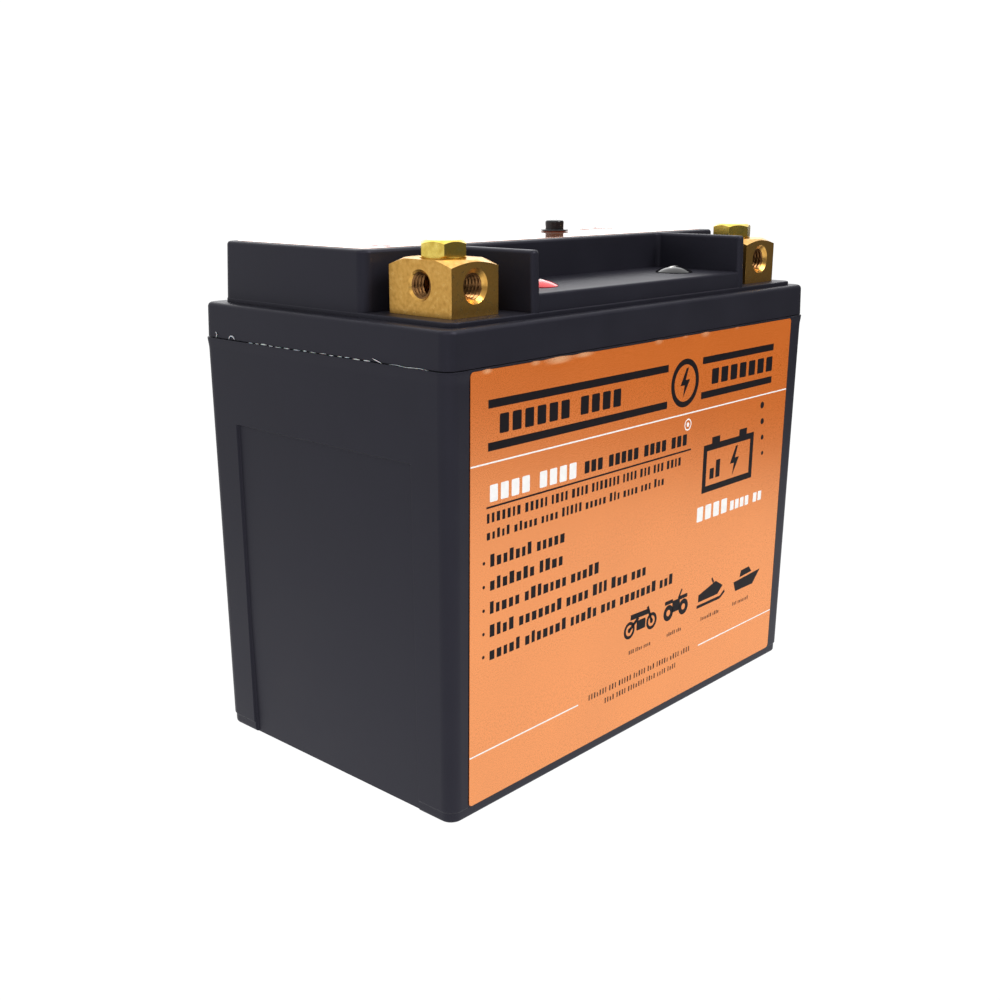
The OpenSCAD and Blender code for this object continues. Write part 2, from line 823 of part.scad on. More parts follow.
case();
lid();
seam_sealant();
front_label();
top_label();
marker(-1, [0.75, 0.05, 0.05]);  // positive_marker
marker(1, [0.05, 0.05, 0.05]);  // negative_marker
terminal(-1);  // positive_terminal
terminal(1);  // negative_terminal
terminal_seal(-1);  // positive_terminal_seal
terminal_seal(1);  // negative_terminal_seal
bolt_washer(-1);  // positive_bolt_washer
bolt_washer(1);  // negative_bolt_washer
bolt(-1);  // positive_bolt
bolt(1);  // negative_bolt
terminal_nut(-1);  // positive_terminal_nut
terminal_nut(1);  // negative_terminal_nut
lug(-1);  // positive_lug
lug(1);  // negative_lug
positive_lead();
negative_lead();
cell_string(0);  // cell_string_1
cell_string(1);  // cell_string_2
cell_string(2);  // cell_string_3
cell_string(3);  // cell_string_4
cell_holder(cell_top_z - holder_in - holder_t);  // top_cell_holder
cell_holder(cell_z + holder_in);  // bottom_cell_holder
top_bus_plates();
bottom_bus_plates();
base_foam();
end_foam();
insulating_sheet();
translate([mb_x, 0, 0]) management_board();
translate([mb_x, 0, 0]) management_parts();
management_link();
balance_leads();
test_button();
button_bush();
button_nut();
button_spring();
button_switch();
switch_tags();
switch_leads();
indicator_board();
indicator_lights();
indicator_screws();
indicator_cable();
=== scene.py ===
import json
import math
import random

import bmesh
import bpy
from mathutils import Euler, Matrix, Vector


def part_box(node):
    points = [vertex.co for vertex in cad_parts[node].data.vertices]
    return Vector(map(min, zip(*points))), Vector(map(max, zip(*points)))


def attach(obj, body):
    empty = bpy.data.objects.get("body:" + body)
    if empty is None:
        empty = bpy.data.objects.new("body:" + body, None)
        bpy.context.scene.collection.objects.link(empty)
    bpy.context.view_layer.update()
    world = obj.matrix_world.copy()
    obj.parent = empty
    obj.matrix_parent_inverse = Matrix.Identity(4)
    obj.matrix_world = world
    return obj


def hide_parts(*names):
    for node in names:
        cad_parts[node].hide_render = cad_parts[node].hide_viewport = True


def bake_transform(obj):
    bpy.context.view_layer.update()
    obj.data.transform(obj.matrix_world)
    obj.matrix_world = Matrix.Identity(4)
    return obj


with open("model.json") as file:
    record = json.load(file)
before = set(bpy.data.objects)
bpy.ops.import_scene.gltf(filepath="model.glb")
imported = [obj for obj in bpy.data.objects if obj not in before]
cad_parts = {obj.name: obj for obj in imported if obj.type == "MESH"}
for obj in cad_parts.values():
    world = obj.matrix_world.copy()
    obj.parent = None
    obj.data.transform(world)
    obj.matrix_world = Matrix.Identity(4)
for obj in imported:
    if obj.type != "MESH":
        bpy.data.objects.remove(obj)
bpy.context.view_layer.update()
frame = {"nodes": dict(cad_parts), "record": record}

# Looks of a motorcycle battery. Shapes are made in millimetres and scaled to metres when they are finished.
MM = 0.001
HOME = "battery"


# ---- places taken from the frame, in millimetres ----

def span(node):
    """Lowest and highest corner of a CAD node, in millimetres."""
    low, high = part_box(node)
    return low / MM, high / MM


CASE_X, CASE_Y, CASE_TOP = span("case")[1]
LID_TOP = span("lid")[1].z
LABEL_LOW, LABEL_HIGH = span("front_label")
TOP_LABEL_LOW, TOP_LABEL_HIGH = span("top_label")
SIDES = {"positive": -1, "negative": 1}

# case
DRAFT = 0.93            # how far the walls lean in from rim to base
CORNER_R = 3.5
RIM_FLARE = 0.2         # the rim stands this far out of the wall
RIM_FLARE_H = 3.0
BASE_STEP_Z = 3.0
BASE_STEP_IN = 0.5
BASE_ROUND = 0.8
PANEL_HALF = 31.6
PANEL_TOP = 84.5
PANEL_DEPTH = 0.7
PANEL_EDGE = 0.55       # its rounded edge is this wide
PANEL_LEAN = 0.4        # it is this much deeper at the base
PANEL_LEAN_H = 30.0
SEAT_DEPTH = 0.26
SEAT_MARGIN = 0.3
SEAT_EDGE = 0.15
FLOOR_T = 2.4
CAVITY_X, CAVITY_Y, CAVITY_R = 71.77, 40.27, 2.0

# lid
SEAM_TOP = 105.7
LEDGE_Z = 114.1
LEDGE_ROUND = 1.15
SKIRT_IN = 0.35
SKIRT_LOWER = 0.16      # the skirt ends this far below its plain edge and closes most of the seam
LEDGE_IN = 0.57
RAISED_X = 70.8
RAISED_FRONT = -40.5
RAISED_BACK = 39.5
RAISED_LEAN = 0.5       # the raised part narrows by this much at each side
BACK_WALL_Y = -13.2
PLINTH_Z = 115.2
PLATFORM_Z = 119.4
RIB_X = 44.6
RIB_T = 2.8
TOP_ROUND = 0.85
LID_WALL = 2.4
TONGUE_LOW = 101.7
LID_ROOF_Z = 126.4
RECESS_ROOF_Z = 111.5
ROOF_HOLE = (120, 131)  # from and to this height the holes of button and lights are cut
LIGHT_SCREW_XS = (33.3, 58.0)

# terminals
BLOCK_LOW, BLOCK_HIGH = span("negative_terminal")
TERMINALS = {name: sum(span(name + "_terminal"), Vector()) / 2 for name in SIDES}
BLOCK_X = (BLOCK_HIGH.x - BLOCK_LOW.x) / 2
BLOCK_Y = (BLOCK_HIGH.y - BLOCK_LOW.y) / 2
BLOCK_TOP = BLOCK_HIGH.z
BLOCK_BASE = PLINTH_Z + 0.02
CROSS_HOLE_Z = 121.8
FRONT_SINK = (3.9, 0.9)     # radius and depth of the countersink in the label-side face
OUTER_SINK = (3.5, 0.4)     # the same in the outer face
BORE_LOW = 115.05           # floor of the upright bore
M6_R = 3.0
M6_CORE_R = 2.46
M6_PITCH = 1.0
STEM_R = 4.0
STEM_LOW = 103.0
SEAL_R = 6.15

# button and lights
BUTTON_LOW, BUTTON_HIGH = span("test_button")
BUTTON_X = (BUTTON_LOW.x + BUTTON_HIGH.x) / 2
BUTTON_Y = (BUTTON_LOW.y + BUTTON_HIGH.y) / 2
BUTTON_R = 2.65
BUSH_HOLE_R = 3.3
COLLAR_R = 3.0
COLLAR_LOW = BUTTON_LOW.z + 2.88
COLLAR_TOP = 121.88
LIGHT_XS = (39.0, 45.0, 51.0)
LIGHT_R = 1.5


# ---- mesh helpers ----

TURN = 2 * math.pi


def polar(x, y, radius, angle):
    """Point at an angle round (x, y)."""
    return x + radius * math.cos(angle), y + radius * math.sin(angle)


def smooth(t):
    """0 to 1 along a soft step."""
    t = min(max(t, 0.0), 1.0)
    return t * t * (3 - 2 * t)


def into_scene(name, data):
    obj = bpy.data.objects.new(name, data)
    bpy.context.collection.objects.link(obj)
    return obj


def raw(name, verts, faces):
    """Plain mesh object from points and faces."""
    mesh = bpy.data.meshes.new(name)
    mesh.from_pydata([tuple(v) for v in verts], [], faces)
    mesh.update()
    return into_scene(name, mesh)


def apply_modifiers(obj):
    """Replaces an object's mesh by what its modifiers make of it."""
    bpy.context.view_layer.update()
    graph = bpy.context.evaluated_depsgraph_get()
    mesh = bpy.data.meshes.new_from_object(obj.evaluated_get(graph))
    old = obj.data
    obj.modifiers.clear()
    obj.data = mesh
    bpy.data.meshes.remove(old)
    return obj


def combine(obj, other, operation):
    """Boolean of two solids; the second one is used up."""
    modifier = obj.modifiers.new("combine", "BOOLEAN")
    modifier.operation = operation
    modifier.solver = "EXACT"
    modifier.object = other
    apply_modifiers(obj)
    mesh = other.data
    bpy.data.objects.remove(other)
    bpy.data.meshes.remove(mesh)
    return obj


def soften(obj, width, segments=2, angle=30):
    """Rounds the sharp edges of a solid."""
    modifier = obj.modifiers.new("soften", "BEVEL")
    modifier.width = width
    modifier.segments = segments
    modifier.limit_method = "ANGLE"
    modifier.angle_limit = math.radians(angle)
    return apply_modifiers(obj)


def clean(obj):
    """Welds the hairline gaps and removes the slivers that booleans leave."""
    mesh = bmesh.new()
    mesh.from_mesh(obj.data)
    bmesh.ops.remove_doubles(mesh, verts=mesh.verts, dist=0.0015)
    bmesh.ops.dissolve_degenerate(mesh, dist=0.0005, edges=mesh.edges)
    bmesh.ops.holes_fill(mesh, edges=[edge for edge in mesh.edges if edge.is_boundary], sides=4)
    bmesh.ops.recalc_face_normals(mesh, faces=mesh.faces)
    mesh.to_mesh(obj.data)
    mesh.free()


def finish_piece(obj, material, body, nodes=(), angle=32, weld=True):
    """Scales a piece to metres, shades it and ties it to the frame."""
    if weld:
        clean(obj)
    obj.data.transform(Matrix.Scale(MM, 4))
    obj.data.materials.clear()
    obj.data.materials.append(material)
    obj.data.shade_smooth()
    obj.data.set_sharp_from_angle(angle=math.radians(angle))
    modifier = obj.modifiers.new("normals", "WEIGHTED_NORMAL")
    modifier.keep_sharp = True
    if body:
        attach(obj, body)
    if nodes:
        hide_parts(*nodes)
    return obj


def skin(rings):
    """Points and faces of a closed skin over rings of equal length."""
    n = len(rings[0])
    last = (len(rings) - 1) * n
    verts = [p for ring in rings for p in ring]
    faces = [list(reversed(range(n))), [last + i for i in range(n)]]
    for k in range(len(rings) - 1):
        for i in range(n):
            j = (i + 1) % n
            faces.append((k * n + i, k * n + j, (k + 1) * n + j, (k + 1) * n + i))
    return verts, faces


def loft(name, rings):
    verts, faces = skin(rings)
    return raw(name, verts, faces)


def outline(corners, radii, inset, z, arc=6):
    """Ring round a polygon that is set in by inset, its corners rounded; radius 0 keeps a plain point."""
    ring = []
    count = len(corners)
    for i, (corner, radius) in enumerate(zip(corners, radii)):
        p = Vector(corner)
        a = (Vector(corners[i - 1]) - p).normalized()
        b = (Vector(corners[(i + 1) % count]) - p).normalized()
        n1 = Vector((a.y, -a.x))
        n2 = Vector((-b.y, b.x))
        p = p + (n1 + n2) * inset / (1 + n1.dot(n2))
        if radius == 0:
            ring.append((p.x, p.y, z))
            continue
        convex = b.y * -a.x - b.x * -a.y > 0
        r = max(radius - inset if convex else radius + inset, 0.03)
        half = a.angle(b) / 2
        centre = p + (a + b).normalized() * r / math.sin(half)
        start = p + a * r / math.tan(half) - centre
        end = p + b * r / math.tan(half) - centre
        first = math.atan2(start.y, start.x)
        turn = (math.atan2(end.y, end.x) - first + math.pi) % TURN - math.pi
        for k in range(arc + 1):
            ring.append((*polar(centre.x, centre.y, r, first + turn * k / arc), z))
    return ring


def rectangle(x, y_low, y_high):
    return [(-x, y_low), (x, y_low), (x, y_high), (-x, y_high)]


def round_over(inset, z, radius, steps=4):
    """(inset, z) along a quarter arc that closes the top edge of a wall that ends at height z."""
    levels = []
    for k in range(1, steps + 1):
        angle = math.pi / 2 * k / steps
        levels.append((inset + radius * (1 - math.cos(angle)), z - radius + radius * math.sin(angle)))
    return levels


def prism(name, corners, radii, levels, arc=6):
    """Solid with one outline, set in by (inset, z) levels from bottom to top."""
    return loft(name, [outline(corners, radii, inset, z, arc) for inset, z in levels])


def revolve(name, profile, x=0.0, y=0.0, seg=64):
    """Solid of (radius, height) points from the bottom axis point to the top one."""
    rings = profile[1:-1]
    verts = [(x, y, profile[0][1]), (x, y, profile[-1][1])]
    verts += [(*polar(x, y, radius, TURN * i / seg), z) for radius, z in rings for i in range(seg)]
    faces = []
    last = 2 + (len(rings) - 1) * seg
    for i in range(seg):
        j = (i + 1) % seg
        faces.append((0, 2 + j, 2 + i))
        faces.append((1, last + i, last + j))
        for k in range(len(rings) - 1):
            low = 2 + k * seg
            faces.append((low + i, low + j, low + seg + j, low + seg + i))
    return raw(name, verts, faces)


def cylinder(name, x, y, low, high, radius, seg=48):
    return revolve(name, [(0, low), (radius, low), (radius, high), (0, high)], x, y, seg)


def tube(name, x, y, profile, seg=64):
    """Ring-shaped solid whose closed (radius, height) profile turns round an upright axis."""
    n = len(profile)
    verts = [(*polar(x, y, r, TURN * i / seg), z) for i in range(seg) for r, z in profile]
    faces = []
    for i in range(seg):
        j = (i + 1) % seg
        for k in range(n):
            m = (k + 1) % n
            faces.append((i * n + k, j * n + k, j * n + m, i * n + m))
    return raw(name, verts, faces)


# ---- materials ----

class Tree:
    """Short way to write a node tree."""

    def __init__(self, tree, coords):
        self.tree = tree
        self.coords = tree.nodes.new("ShaderNodeTexCoord").outputs[coords]

    def put(self, node, socket, value):
        """Links an output to a socket, or sets the socket to a plain value."""
        if isinstance(value, bpy.types.NodeSocket):
            self.tree.links.new(value, node.inputs[socket])
        else:
            node.inputs[socket].default_value = value

    def add(self, kind, **inputs):
        """New node; an underscore in an input's name stands for a space."""
        node = self.tree.nodes.new(kind)
        for name, value in inputs.items():
            self.put(node, name.replace("_", " "), value)
        return node

    def operate(self, kind, operation, *values):
        """New math node; the values go to its first sockets."""
        node = self.add(kind)
        node.operation = operation
        for socket, value in enumerate(values):
            self.put(node, socket, value)
        return node.outputs

    def spread(self, source, low, high, start=0.3, end=0.7, blend="LINEAR"):
        """Value from low to high as source goes from start to end."""
        limits = {"From_Min": start, "From_Max": end, "To_Min": low, "To_Max": high}
        node = self.add("ShaderNodeMapRange", Value=source, **limits)
        node.interpolation_type = blend
        return node.outputs["Result"]


class Finish(Tree):
    """Node tree of one procedural material."""

    def __init__(self, name):
        self.material = bpy.data.materials.new(name)
        self.material.use_nodes = True
        super().__init__(self.material.node_tree, "Object")
        self.shader = self.tree.nodes["Principled BSDF"]

    def noise(self, size_mm, detail=4.0, stretch=(1, 1, 1), seed=0.0):
        """Noise whose features are about size_mm across."""
        scale = [s / (size_mm * MM) for s in stretch]
        place = self.add("ShaderNodeMapping", Vector=self.coords, Scale=scale, Location=(seed, seed, seed))
        texture = self.add("ShaderNodeTexNoise", Vector=place.outputs["Vector"], Scale=1.0, Detail=detail)
        return texture.outputs["Fac"]

    def ramp(self, source, *stops):
        """Colour ramp of (place, colour) stops."""
        node = self.add("ShaderNodeValToRGB", Fac=source)
        elements = node.color_ramp.elements
        while len(elements) < len(stops):
            elements.new(0.5)
        for element, (place, colour) in zip(elements, stops):
            element.position = place
            element.color = (*colour, 1)
        return node.outputs["Color"]

    def mix(self, factor, source, colour):
        """Source colour turned into a plain one where factor is 1."""
        node = self.add("ShaderNodeMix")
        node.data_type = "RGBA"
        for socket, value in ((0, factor), (6, source), (7, (*colour, 1))):
            self.put(node, socket, value)
        return node.outputs[2]

    def spot(self, place, radii, strength):
        """Soft elliptical spot on the label face at an (x, z) place in millimetres; the foil uses it for
        painted highlights at the creases.
        """
        (x, z), (wide, tall) = place, radii
        scale, shift = (1 / (wide * MM), 0, 1 / (tall * MM)), (-x / wide, 0, -z / tall)
        mapping = self.add("ShaderNodeMapping", Vector=self.coords, Scale=scale, Location=shift)
        away = self.operate("ShaderNodeVectorMath", "LENGTH", mapping.outputs["Vector"])["Value"]
        return self.spread(away, strength, 0.0, 0.25, 1.0)

    def finish(self, colour, rough, *layers, **sockets):
        """Ends the material; each bump layer is (height source, depth in mm)."""
        normal = None
        for height, depth in layers:
            node = self.add("ShaderNodeBump", Height=height, Distance=depth * MM)
            if normal:
                self.put(node, "Normal", normal)
            normal = node.outputs["Normal"]
        sockets.update({"Base Color": colour, "Roughness": rough, "Normal": normal})
        for name, value in sockets.items():
            self.put(self.shader, name.replace("_", " "), value)
        return self.material


def shade(colour, factor):
    return tuple(c * factor for c in colour)


def surface(name, colour, rough, metal=0.0, grain=0.3, relief=0.01, vary=0.15, blotch=6.0, **sockets):
    """Blotchy colour, with a fine grain in roughness and relief."""
    m = Finish(name)
    blotches = m.noise(blotch)
    fine = m.noise(grain, detail=2.0, seed=3.1)
    paint = m.ramp(blotches, (0.3, shade(colour, 1 - vary)), (0.7, shade(colour, 1 + vary)))
    gloss = m.spread(fine, rough * 0.88, rough * 1.12)
    return m.finish(paint, gloss, (fine, relief), (blotches, relief * 1.5), Metallic=metal, **sockets)


def case_plastic():
    """Black moulded plastic with a fine spark-eroded texture."""
    m = Finish("case_plastic")
    texture = m.noise(0.22, detail=3.0)
    haze = m.noise(14.0, detail=5.0, seed=7.0)
    paint = m.ramp(haze, (0.3, (0.0115, 0.0113, 0.0168)), (0.7, (0.0142, 0.0140, 0.0205)))
    gloss = m.spread(haze, 0.44, 0.50)
    tint = (0.80, 0.78, 1.0, 1.0)
    return m.finish(paint, gloss, (texture, 0.012), (haze, 0.05), IOR=1.37, Specular_Tint=tint)


# pale colour painted as a highlight where the top edge of the foil is creased
CREASE_HIGHLIGHT_COLOUR = (0.98, 0.50, 0.26)


def foil(name, rough, colours, metal, highlight_creases=(), **sockets):
    """Orange foil print under a clear film, with a painted pale highlight at each crease of the top edge.
    """
    m = Finish(name)
    grain = m.noise(0.16, detail=2.0)
    cloud = m.noise(30.0, detail=3.0, seed=2.0)
    wave = m.noise(9.0, detail=2.0, seed=5.0)
    paint = m.ramp(cloud, (0.35, colours[0]), (0.65, colours[1]))
    # painted highlight: the colour turns pale in a soft spot at each crease
    for x, half, height, strength in highlight_creases:
        spot = m.spot((x, LABEL_HIGH.z), (half, height), 0.9 * strength)
        paint = m.mix(spot, paint, CREASE_HIGHLIGHT_COLOUR)
    gloss = m.spread(grain, rough * 0.9, rough * 1.1)
    sockets.update(Metallic=metal, Specular_Tint=(1.0, 0.86, 0.50, 1.0))
    return m.finish(paint, gloss, (grain, 0.0004), (wave, 0.012), **sockets)


def print_ink(name, colour, vary=0.12):
    """Thin screen print with slight mottling."""
    return surface(name, colour, 0.45, grain=0.2, relief=0.003, vary=vary, blotch=1.5, IOR=1.18)


def machined_brass():
    """Sawn and turned brass: fine lines, small stains and bright worn spots."""
    m = Finish("machined_brass")
    lines = m.noise(0.12, detail=3.0, stretch=(1, 1, 0.04))
    stains = m.noise(1.1, detail=6.0, seed=4.0)
    specks = m.noise(0.4, detail=4.0, seed=9.0)
    dull, plain, worn = (0.62, 0.33, 0.075), (0.76, 0.42, 0.10), (0.84, 0.50, 0.14)
    paint = m.ramp(stains, (0.28, dull), (0.5, plain), (0.72, worn))
    gloss = m.spread(stains, 0.36, 0.26)
    return m.finish(paint, gloss, (lines, 0.004), (specks, 0.006), (stains, 0.006), Metallic=1.0)


def yellow_plating():
    """Yellow passivated plating with a faint cloudy tarnish."""
    m = Finish("yellow_plating")
    cloud = m.noise(1.6, detail=4.0)
    fine = m.noise(0.18, detail=3.0, seed=6.0)
    dull, plain, bright = (0.74, 0.52, 0.09), (0.85, 0.64, 0.14), (0.92, 0.73, 0.20)
    paint = m.ramp(cloud, (0.3, dull), (0.6, plain), (0.75, bright))
    return m.finish(paint, m.spread(cloud, 0.26, 0.18), (fine, 0.002), (cloud, 0.004), Metallic=1.0)


def cloudy(name, size, low, high, rough, relief, detail=4.0, **sockets):
    """Finish whose colour, roughness and relief follow one soft noise."""
    m = Finish(name)
    cloud = m.noise(size, detail)
    paint = m.ramp(cloud, (0.3, low), (0.7, high))
    return m.finish(paint, m.spread(cloud, *rough), (cloud, relief), **sockets)


def glossy_dome(name, colour, coat):
    """Cast resin dome over a printed disc."""
    return cloudy(name, 2.5, shade(colour, 0.85), shade(colour, 1.15), (0.05, 0.12), 0.02, 3.0,
                  IOR=1.42, Coat_Weight=coat, Coat_Roughness=0.03)


def milky_sealant():
    """Dried glue, slightly translucent."""
    return cloudy("milky_sealant", 0.8, (0.42, 0.42, 0.46), (0.78, 0.78, 0.80), (0.35, 0.6), 0.03,
                  Subsurface_Weight=0.2, Subsurface_Scale=0.001)


def foam_finish():
    """Closed-cell foam: small round pores."""
    m = Finish("foam")
    pores = m.add("ShaderNodeTexVoronoi", Scale=1 / (0.6 * MM), Vector=m.coords).outputs["Distance"]
    colour = (0.04, 0.04, 0.043)
    paint = m.ramp(pores, (0.1, shade(colour, 0.6)), (0.6, shade(colour, 1.3)))
    return m.finish(paint, m.spread(pores, 0.95, 0.75), (pores, 0.15))


def board_finish():
    """Solder mask with faint copper tracks under it."""
    m = Finish("board_green")
    board = {"Color1": (0.012, 0.10, 0.045, 1), "Color2": (0.016, 0.13, 0.055, 1)}
    copper = {"Mortar": (0.05, 0.24, 0.09, 1), "Mortar_Size": 0.03}
    tracks = m.add("ShaderNodeTexBrick", Vector=m.coords, Scale=1 / (8 * MM), **board, **copper).outputs
    fine = m.noise(0.4)
    gloss = m.spread(fine, 0.22, 0.36)
    return m.finish(tracks["Color"], gloss, (tracks["Fac"], 0.03), (fine, 0.004), Coat_Weight=0.5)


def light_finish():
    """Clear diffused epoxy of the indicator lights."""
    return cloudy("light_epoxy", 1.0, (0.62, 0.72, 0.62), (0.85, 0.92, 0.86), (0.08, 0.18), 0.01,
                  Transmission_Weight=0.6, IOR=1.5)


# slot: colour, roughness, metallic, grain and relief in mm
INNER = {
    "seal_rubber": ((0.018, 0.018, 0.018), 0.65, 0.0, 0.4, 0.02),
    "nut_steel": ((0.58, 0.58, 0.56), 0.32, 1.0, 0.15, 0.006),
    "lug_copper": ((0.70, 0.58, 0.48), 0.28, 1.0, 0.2, 0.006),
    "red_insulation": ((0.50, 0.02, 0.015), 0.42, 0.0, 0.4, 0.01),
    "black_insulation": ((0.02, 0.02, 0.021), 0.45, 0.0, 0.4, 0.01),
    "yellow_insulation": ((0.65, 0.50, 0.03), 0.42, 0.0, 0.4, 0.01),
    "grey_insulation": ((0.07, 0.07, 0.08), 0.5, 0.0, 0.4, 0.01),
    "cell_sleeve": ((0.03, 0.14, 0.36), 0.3, 0.0, 1.2, 0.02),
    "holder_plastic": ((0.07, 0.07, 0.08), 0.5, 0.0, 0.5, 0.02),
    "nickel": ((0.66, 0.64, 0.60), 0.25, 1.0, 0.2, 0.004),
    "insulating_board": ((0.52, 0.43, 0.24), 0.8, 0.0, 0.5, 0.03),
    "chip_black": ((0.02, 0.02, 0.021), 0.55, 0.0, 0.15, 0.01),
    "copper": ((0.72, 0.36, 0.20), 0.3, 1.0, 0.2, 0.006),
    "spring_steel": ((0.6, 0.6, 0.62), 0.22, 1.0, 0.3, 0.003),
    "button_plastic": ((0.006, 0.006, 0.008), 0.28, 0.0, 0.3, 0.008),
}
INNER_EXTRAS = {"cell_sleeve": {"Coat_Weight": 0.4}, "nickel": {"blotch": 3.0}}


def inner_materials():
    """Finishes of the pieces inside, by material slot."""
    made = {slot: surface(slot, *values, **INNER_EXTRAS.get(slot, {})) for slot, values in INNER.items()}
    made.update(foam=foam_finish(), board_green=board_finish(), light_epoxy=light_finish())
    return made


# ---- case ----

def wall_inset(z):
    """How far the wall plane lies inside the rim at height z."""
    flare = RIM_FLARE * (1 - smooth((z - CASE_TOP + RIM_FLARE_H) / RIM_FLARE_H))
    return DRAFT * (1 - z / CASE_TOP) + flare


def base_inset(z):
    """Extra inset of the stepped and rounded foot."""
    step = (BASE_STEP_IN - RIM_FLARE) * (1 - smooth((z - BASE_STEP_Z + 0.5) / 0.5))
    rounding = 0.0
    if z < BASE_ROUND:
        rounding = BASE_ROUND * (1 - math.sqrt(1 - (1 - z / BASE_ROUND) ** 2))
    return step + rounding


def seat_x():
    return LABEL_LOW.x - SEAT_MARGIN, LABEL_HIGH.x + SEAT_MARGIN


def panel_depth(y, z):
    """Depth of the recessed panel on the end faces."""
    across = smooth((PANEL_HALF - abs(y)) / PANEL_EDGE)
    depth = PANEL_DEPTH + PANEL_LEAN * max(0.0, 1 - z / PANEL_LEAN_H)
    return max(0.0, depth * across * smooth((PANEL_TOP - z) / PANEL_EDGE) - base_inset(z))


def seat_depth(x, z):
    """Depth of the seat of the front label."""
    low, high = seat_x()
    across = smooth((x - low) / SEAT_EDGE) * smooth((high - x) / SEAT_EDGE)
    return (SEAT_DEPTH - RIM_FLARE * 0.3) * across * smooth((z - LABEL_LOW.z + SEAT_MARGIN) / SEAT_EDGE)


def near(edge, width, steps=4):
    """Places that resolve a soft edge."""
    return [edge + width * k / steps for k in range(steps + 1)]


def side_places():
    """Extra ring points along the label side and along the ends."""
    low, high = seat_x()
    front = near(low, SEAT_EDGE) + near(high - SEAT_EDGE, SEAT_EDGE)
    ends = near(-PANEL_HALF, PANEL_EDGE, 8) + near(PANEL_HALF - PANEL_EDGE, PANEL_EDGE, 8)
    return front, ends


def case_ring(x, y, radius, z, cut=1):
    """One ring of the case, counter-clockwise; cut = 0 leaves out the panels and the label seat."""
    front, ends = side_places()
    label_side = [(place, -y + cut * seat_depth(place, z), z) for place in front]
    right_end = [(x - cut * panel_depth(place, z), place, z) for place in ends]
    left_end = [(-x + cut * panel_depth(place, z), place, z) for place in reversed(ends)]
    corners = ((-1, -1, 180, label_side), (1, -1, 270, right_end), (1, 1, 0, []), (-1, 1, 90, left_end))
    ring = []
    for sx, sy, first, side in corners:
        for k in range(9):
            angle = math.radians(first + 90 * k / 8)
            ring.append((*polar(sx * (x - radius), sy * (y - radius), radius, angle), z))
        ring += side
    return ring


def case_levels():
    """Heights of the rings, close together where the outline changes."""
    foot = [0, 0.08, 0.25, 0.5, BASE_ROUND, 1.6]
    step = near(BASE_STEP_Z - 0.55, 0.6, 6)
    panel = near(PANEL_TOP - PANEL_EDGE, PANEL_EDGE, 8)
    rim = near(CASE_TOP - RIM_FLARE_H, RIM_FLARE_H - 0.25, 5)
    return foot + step + [3.6, 12, 30, 50, 70] + panel + [95] + rim


def build_case(material):
    """Open box with drafted walls, stepped foot, end panels and the seat of the label."""
    rings = []
    for z in case_levels():
        inset = wall_inset(z) + base_inset(z)
        rings.append(case_ring(CASE_X - inset, CASE_Y - inset, CORNER_R - base_inset(z), z))
    for inset, z in round_over(0, CASE_TOP, 0.2, 3):
        rings.append(case_ring(CASE_X - inset, CASE_Y - inset, CORNER_R - inset, z))
    for z in (CASE_TOP, FLOOR_T):
        rings.append(case_ring(CAVITY_X, CAVITY_Y, CAVITY_R, z, cut=0))
    return finish_piece(loft("case_body", rings), material, HOME, ["case"])


# ---- lid ----

def raised_corners(lean):
    """U-shaped outline of the raised back part and the two thin walls."""
    x, front, back = RAISED_X - lean, RAISED_FRONT + lean, RAISED_BACK - lean
    outer, inner = RIB_X - lean * 0.2, RIB_X - RIB_T + lean * 0.2
    wall = BACK_WALL_Y + lean * 0.4
    half = [(x, wall), (x, back)]
    ribs = [(-outer, wall), (-outer, front), (-inner, front), (-inner, wall)]
    mirrored = [(-px, py) for px, py in reversed(ribs)]
    return half + [(-x, back), (-x, wall)] + ribs + mirrored


def raised_part():
    radii = [1.0, 2.6, 2.6, 2.6, 1.4, 0.95, 0.95, 1.4, 1.4, 0.95, 0.95, 1.4]
    levels = [(0, LEDGE_Z - 1), (0, LID_TOP - TOP_ROUND)] + round_over(0, LID_TOP, TOP_ROUND, 5)
    rings = []
    for inset, z in levels:
        lean = 0.04 + RAISED_LEAN * max(0.0, (z - LEDGE_Z) / (LID_TOP - LEDGE_Z))
        rings.append(outline(raised_corners(lean), radii, inset, z))
    return loft("lid_body", rings)


def lid_parts():
    """Ledge, plinth, platform and the tongue that enters the case."""
    foot, low, gap = LEDGE_Z - 1, SEAM_TOP - SKIRT_LOWER, 0.15
    ledge = [(SKIRT_IN + 0.1, low), (SKIRT_IN + 0.02, low + 0.06), (SKIRT_IN, low + 0.2)]
    ledge += [(LEDGE_IN, LEDGE_Z - LEDGE_ROUND)] + round_over(LEDGE_IN, LEDGE_Z, LEDGE_ROUND, 6)
    plinth = [(0, foot), (0, PLINTH_Z - 0.35)] + round_over(0, PLINTH_Z, 0.35, 3)
    platform = [(0, foot), (0.1, PLATFORM_Z - 0.7)] + round_over(0.1, PLATFORM_Z, 0.7, 4)
    middle = rectangle(RIB_X - RIB_T / 2, RAISED_FRONT + 0.4, BACK_WALL_Y + 3)
    inside = rectangle(CAVITY_X - gap, -CAVITY_Y + gap, CAVITY_Y - gap)
    return [
        prism("ledge", rectangle(CASE_X, -CASE_Y, CASE_Y), [CORNER_R] * 4, ledge, 9),
        prism("plinth", rectangle(RAISED_X, RAISED_FRONT, RAISED_BACK), [2.6] * 4, plinth),
        prism("platform", middle, [0.2] * 4, platform),
        prism("tongue", inside, [CAVITY_R] * 4, [(0, TONGUE_LOW), (0, SEAM_TOP + 1)]),
    ]


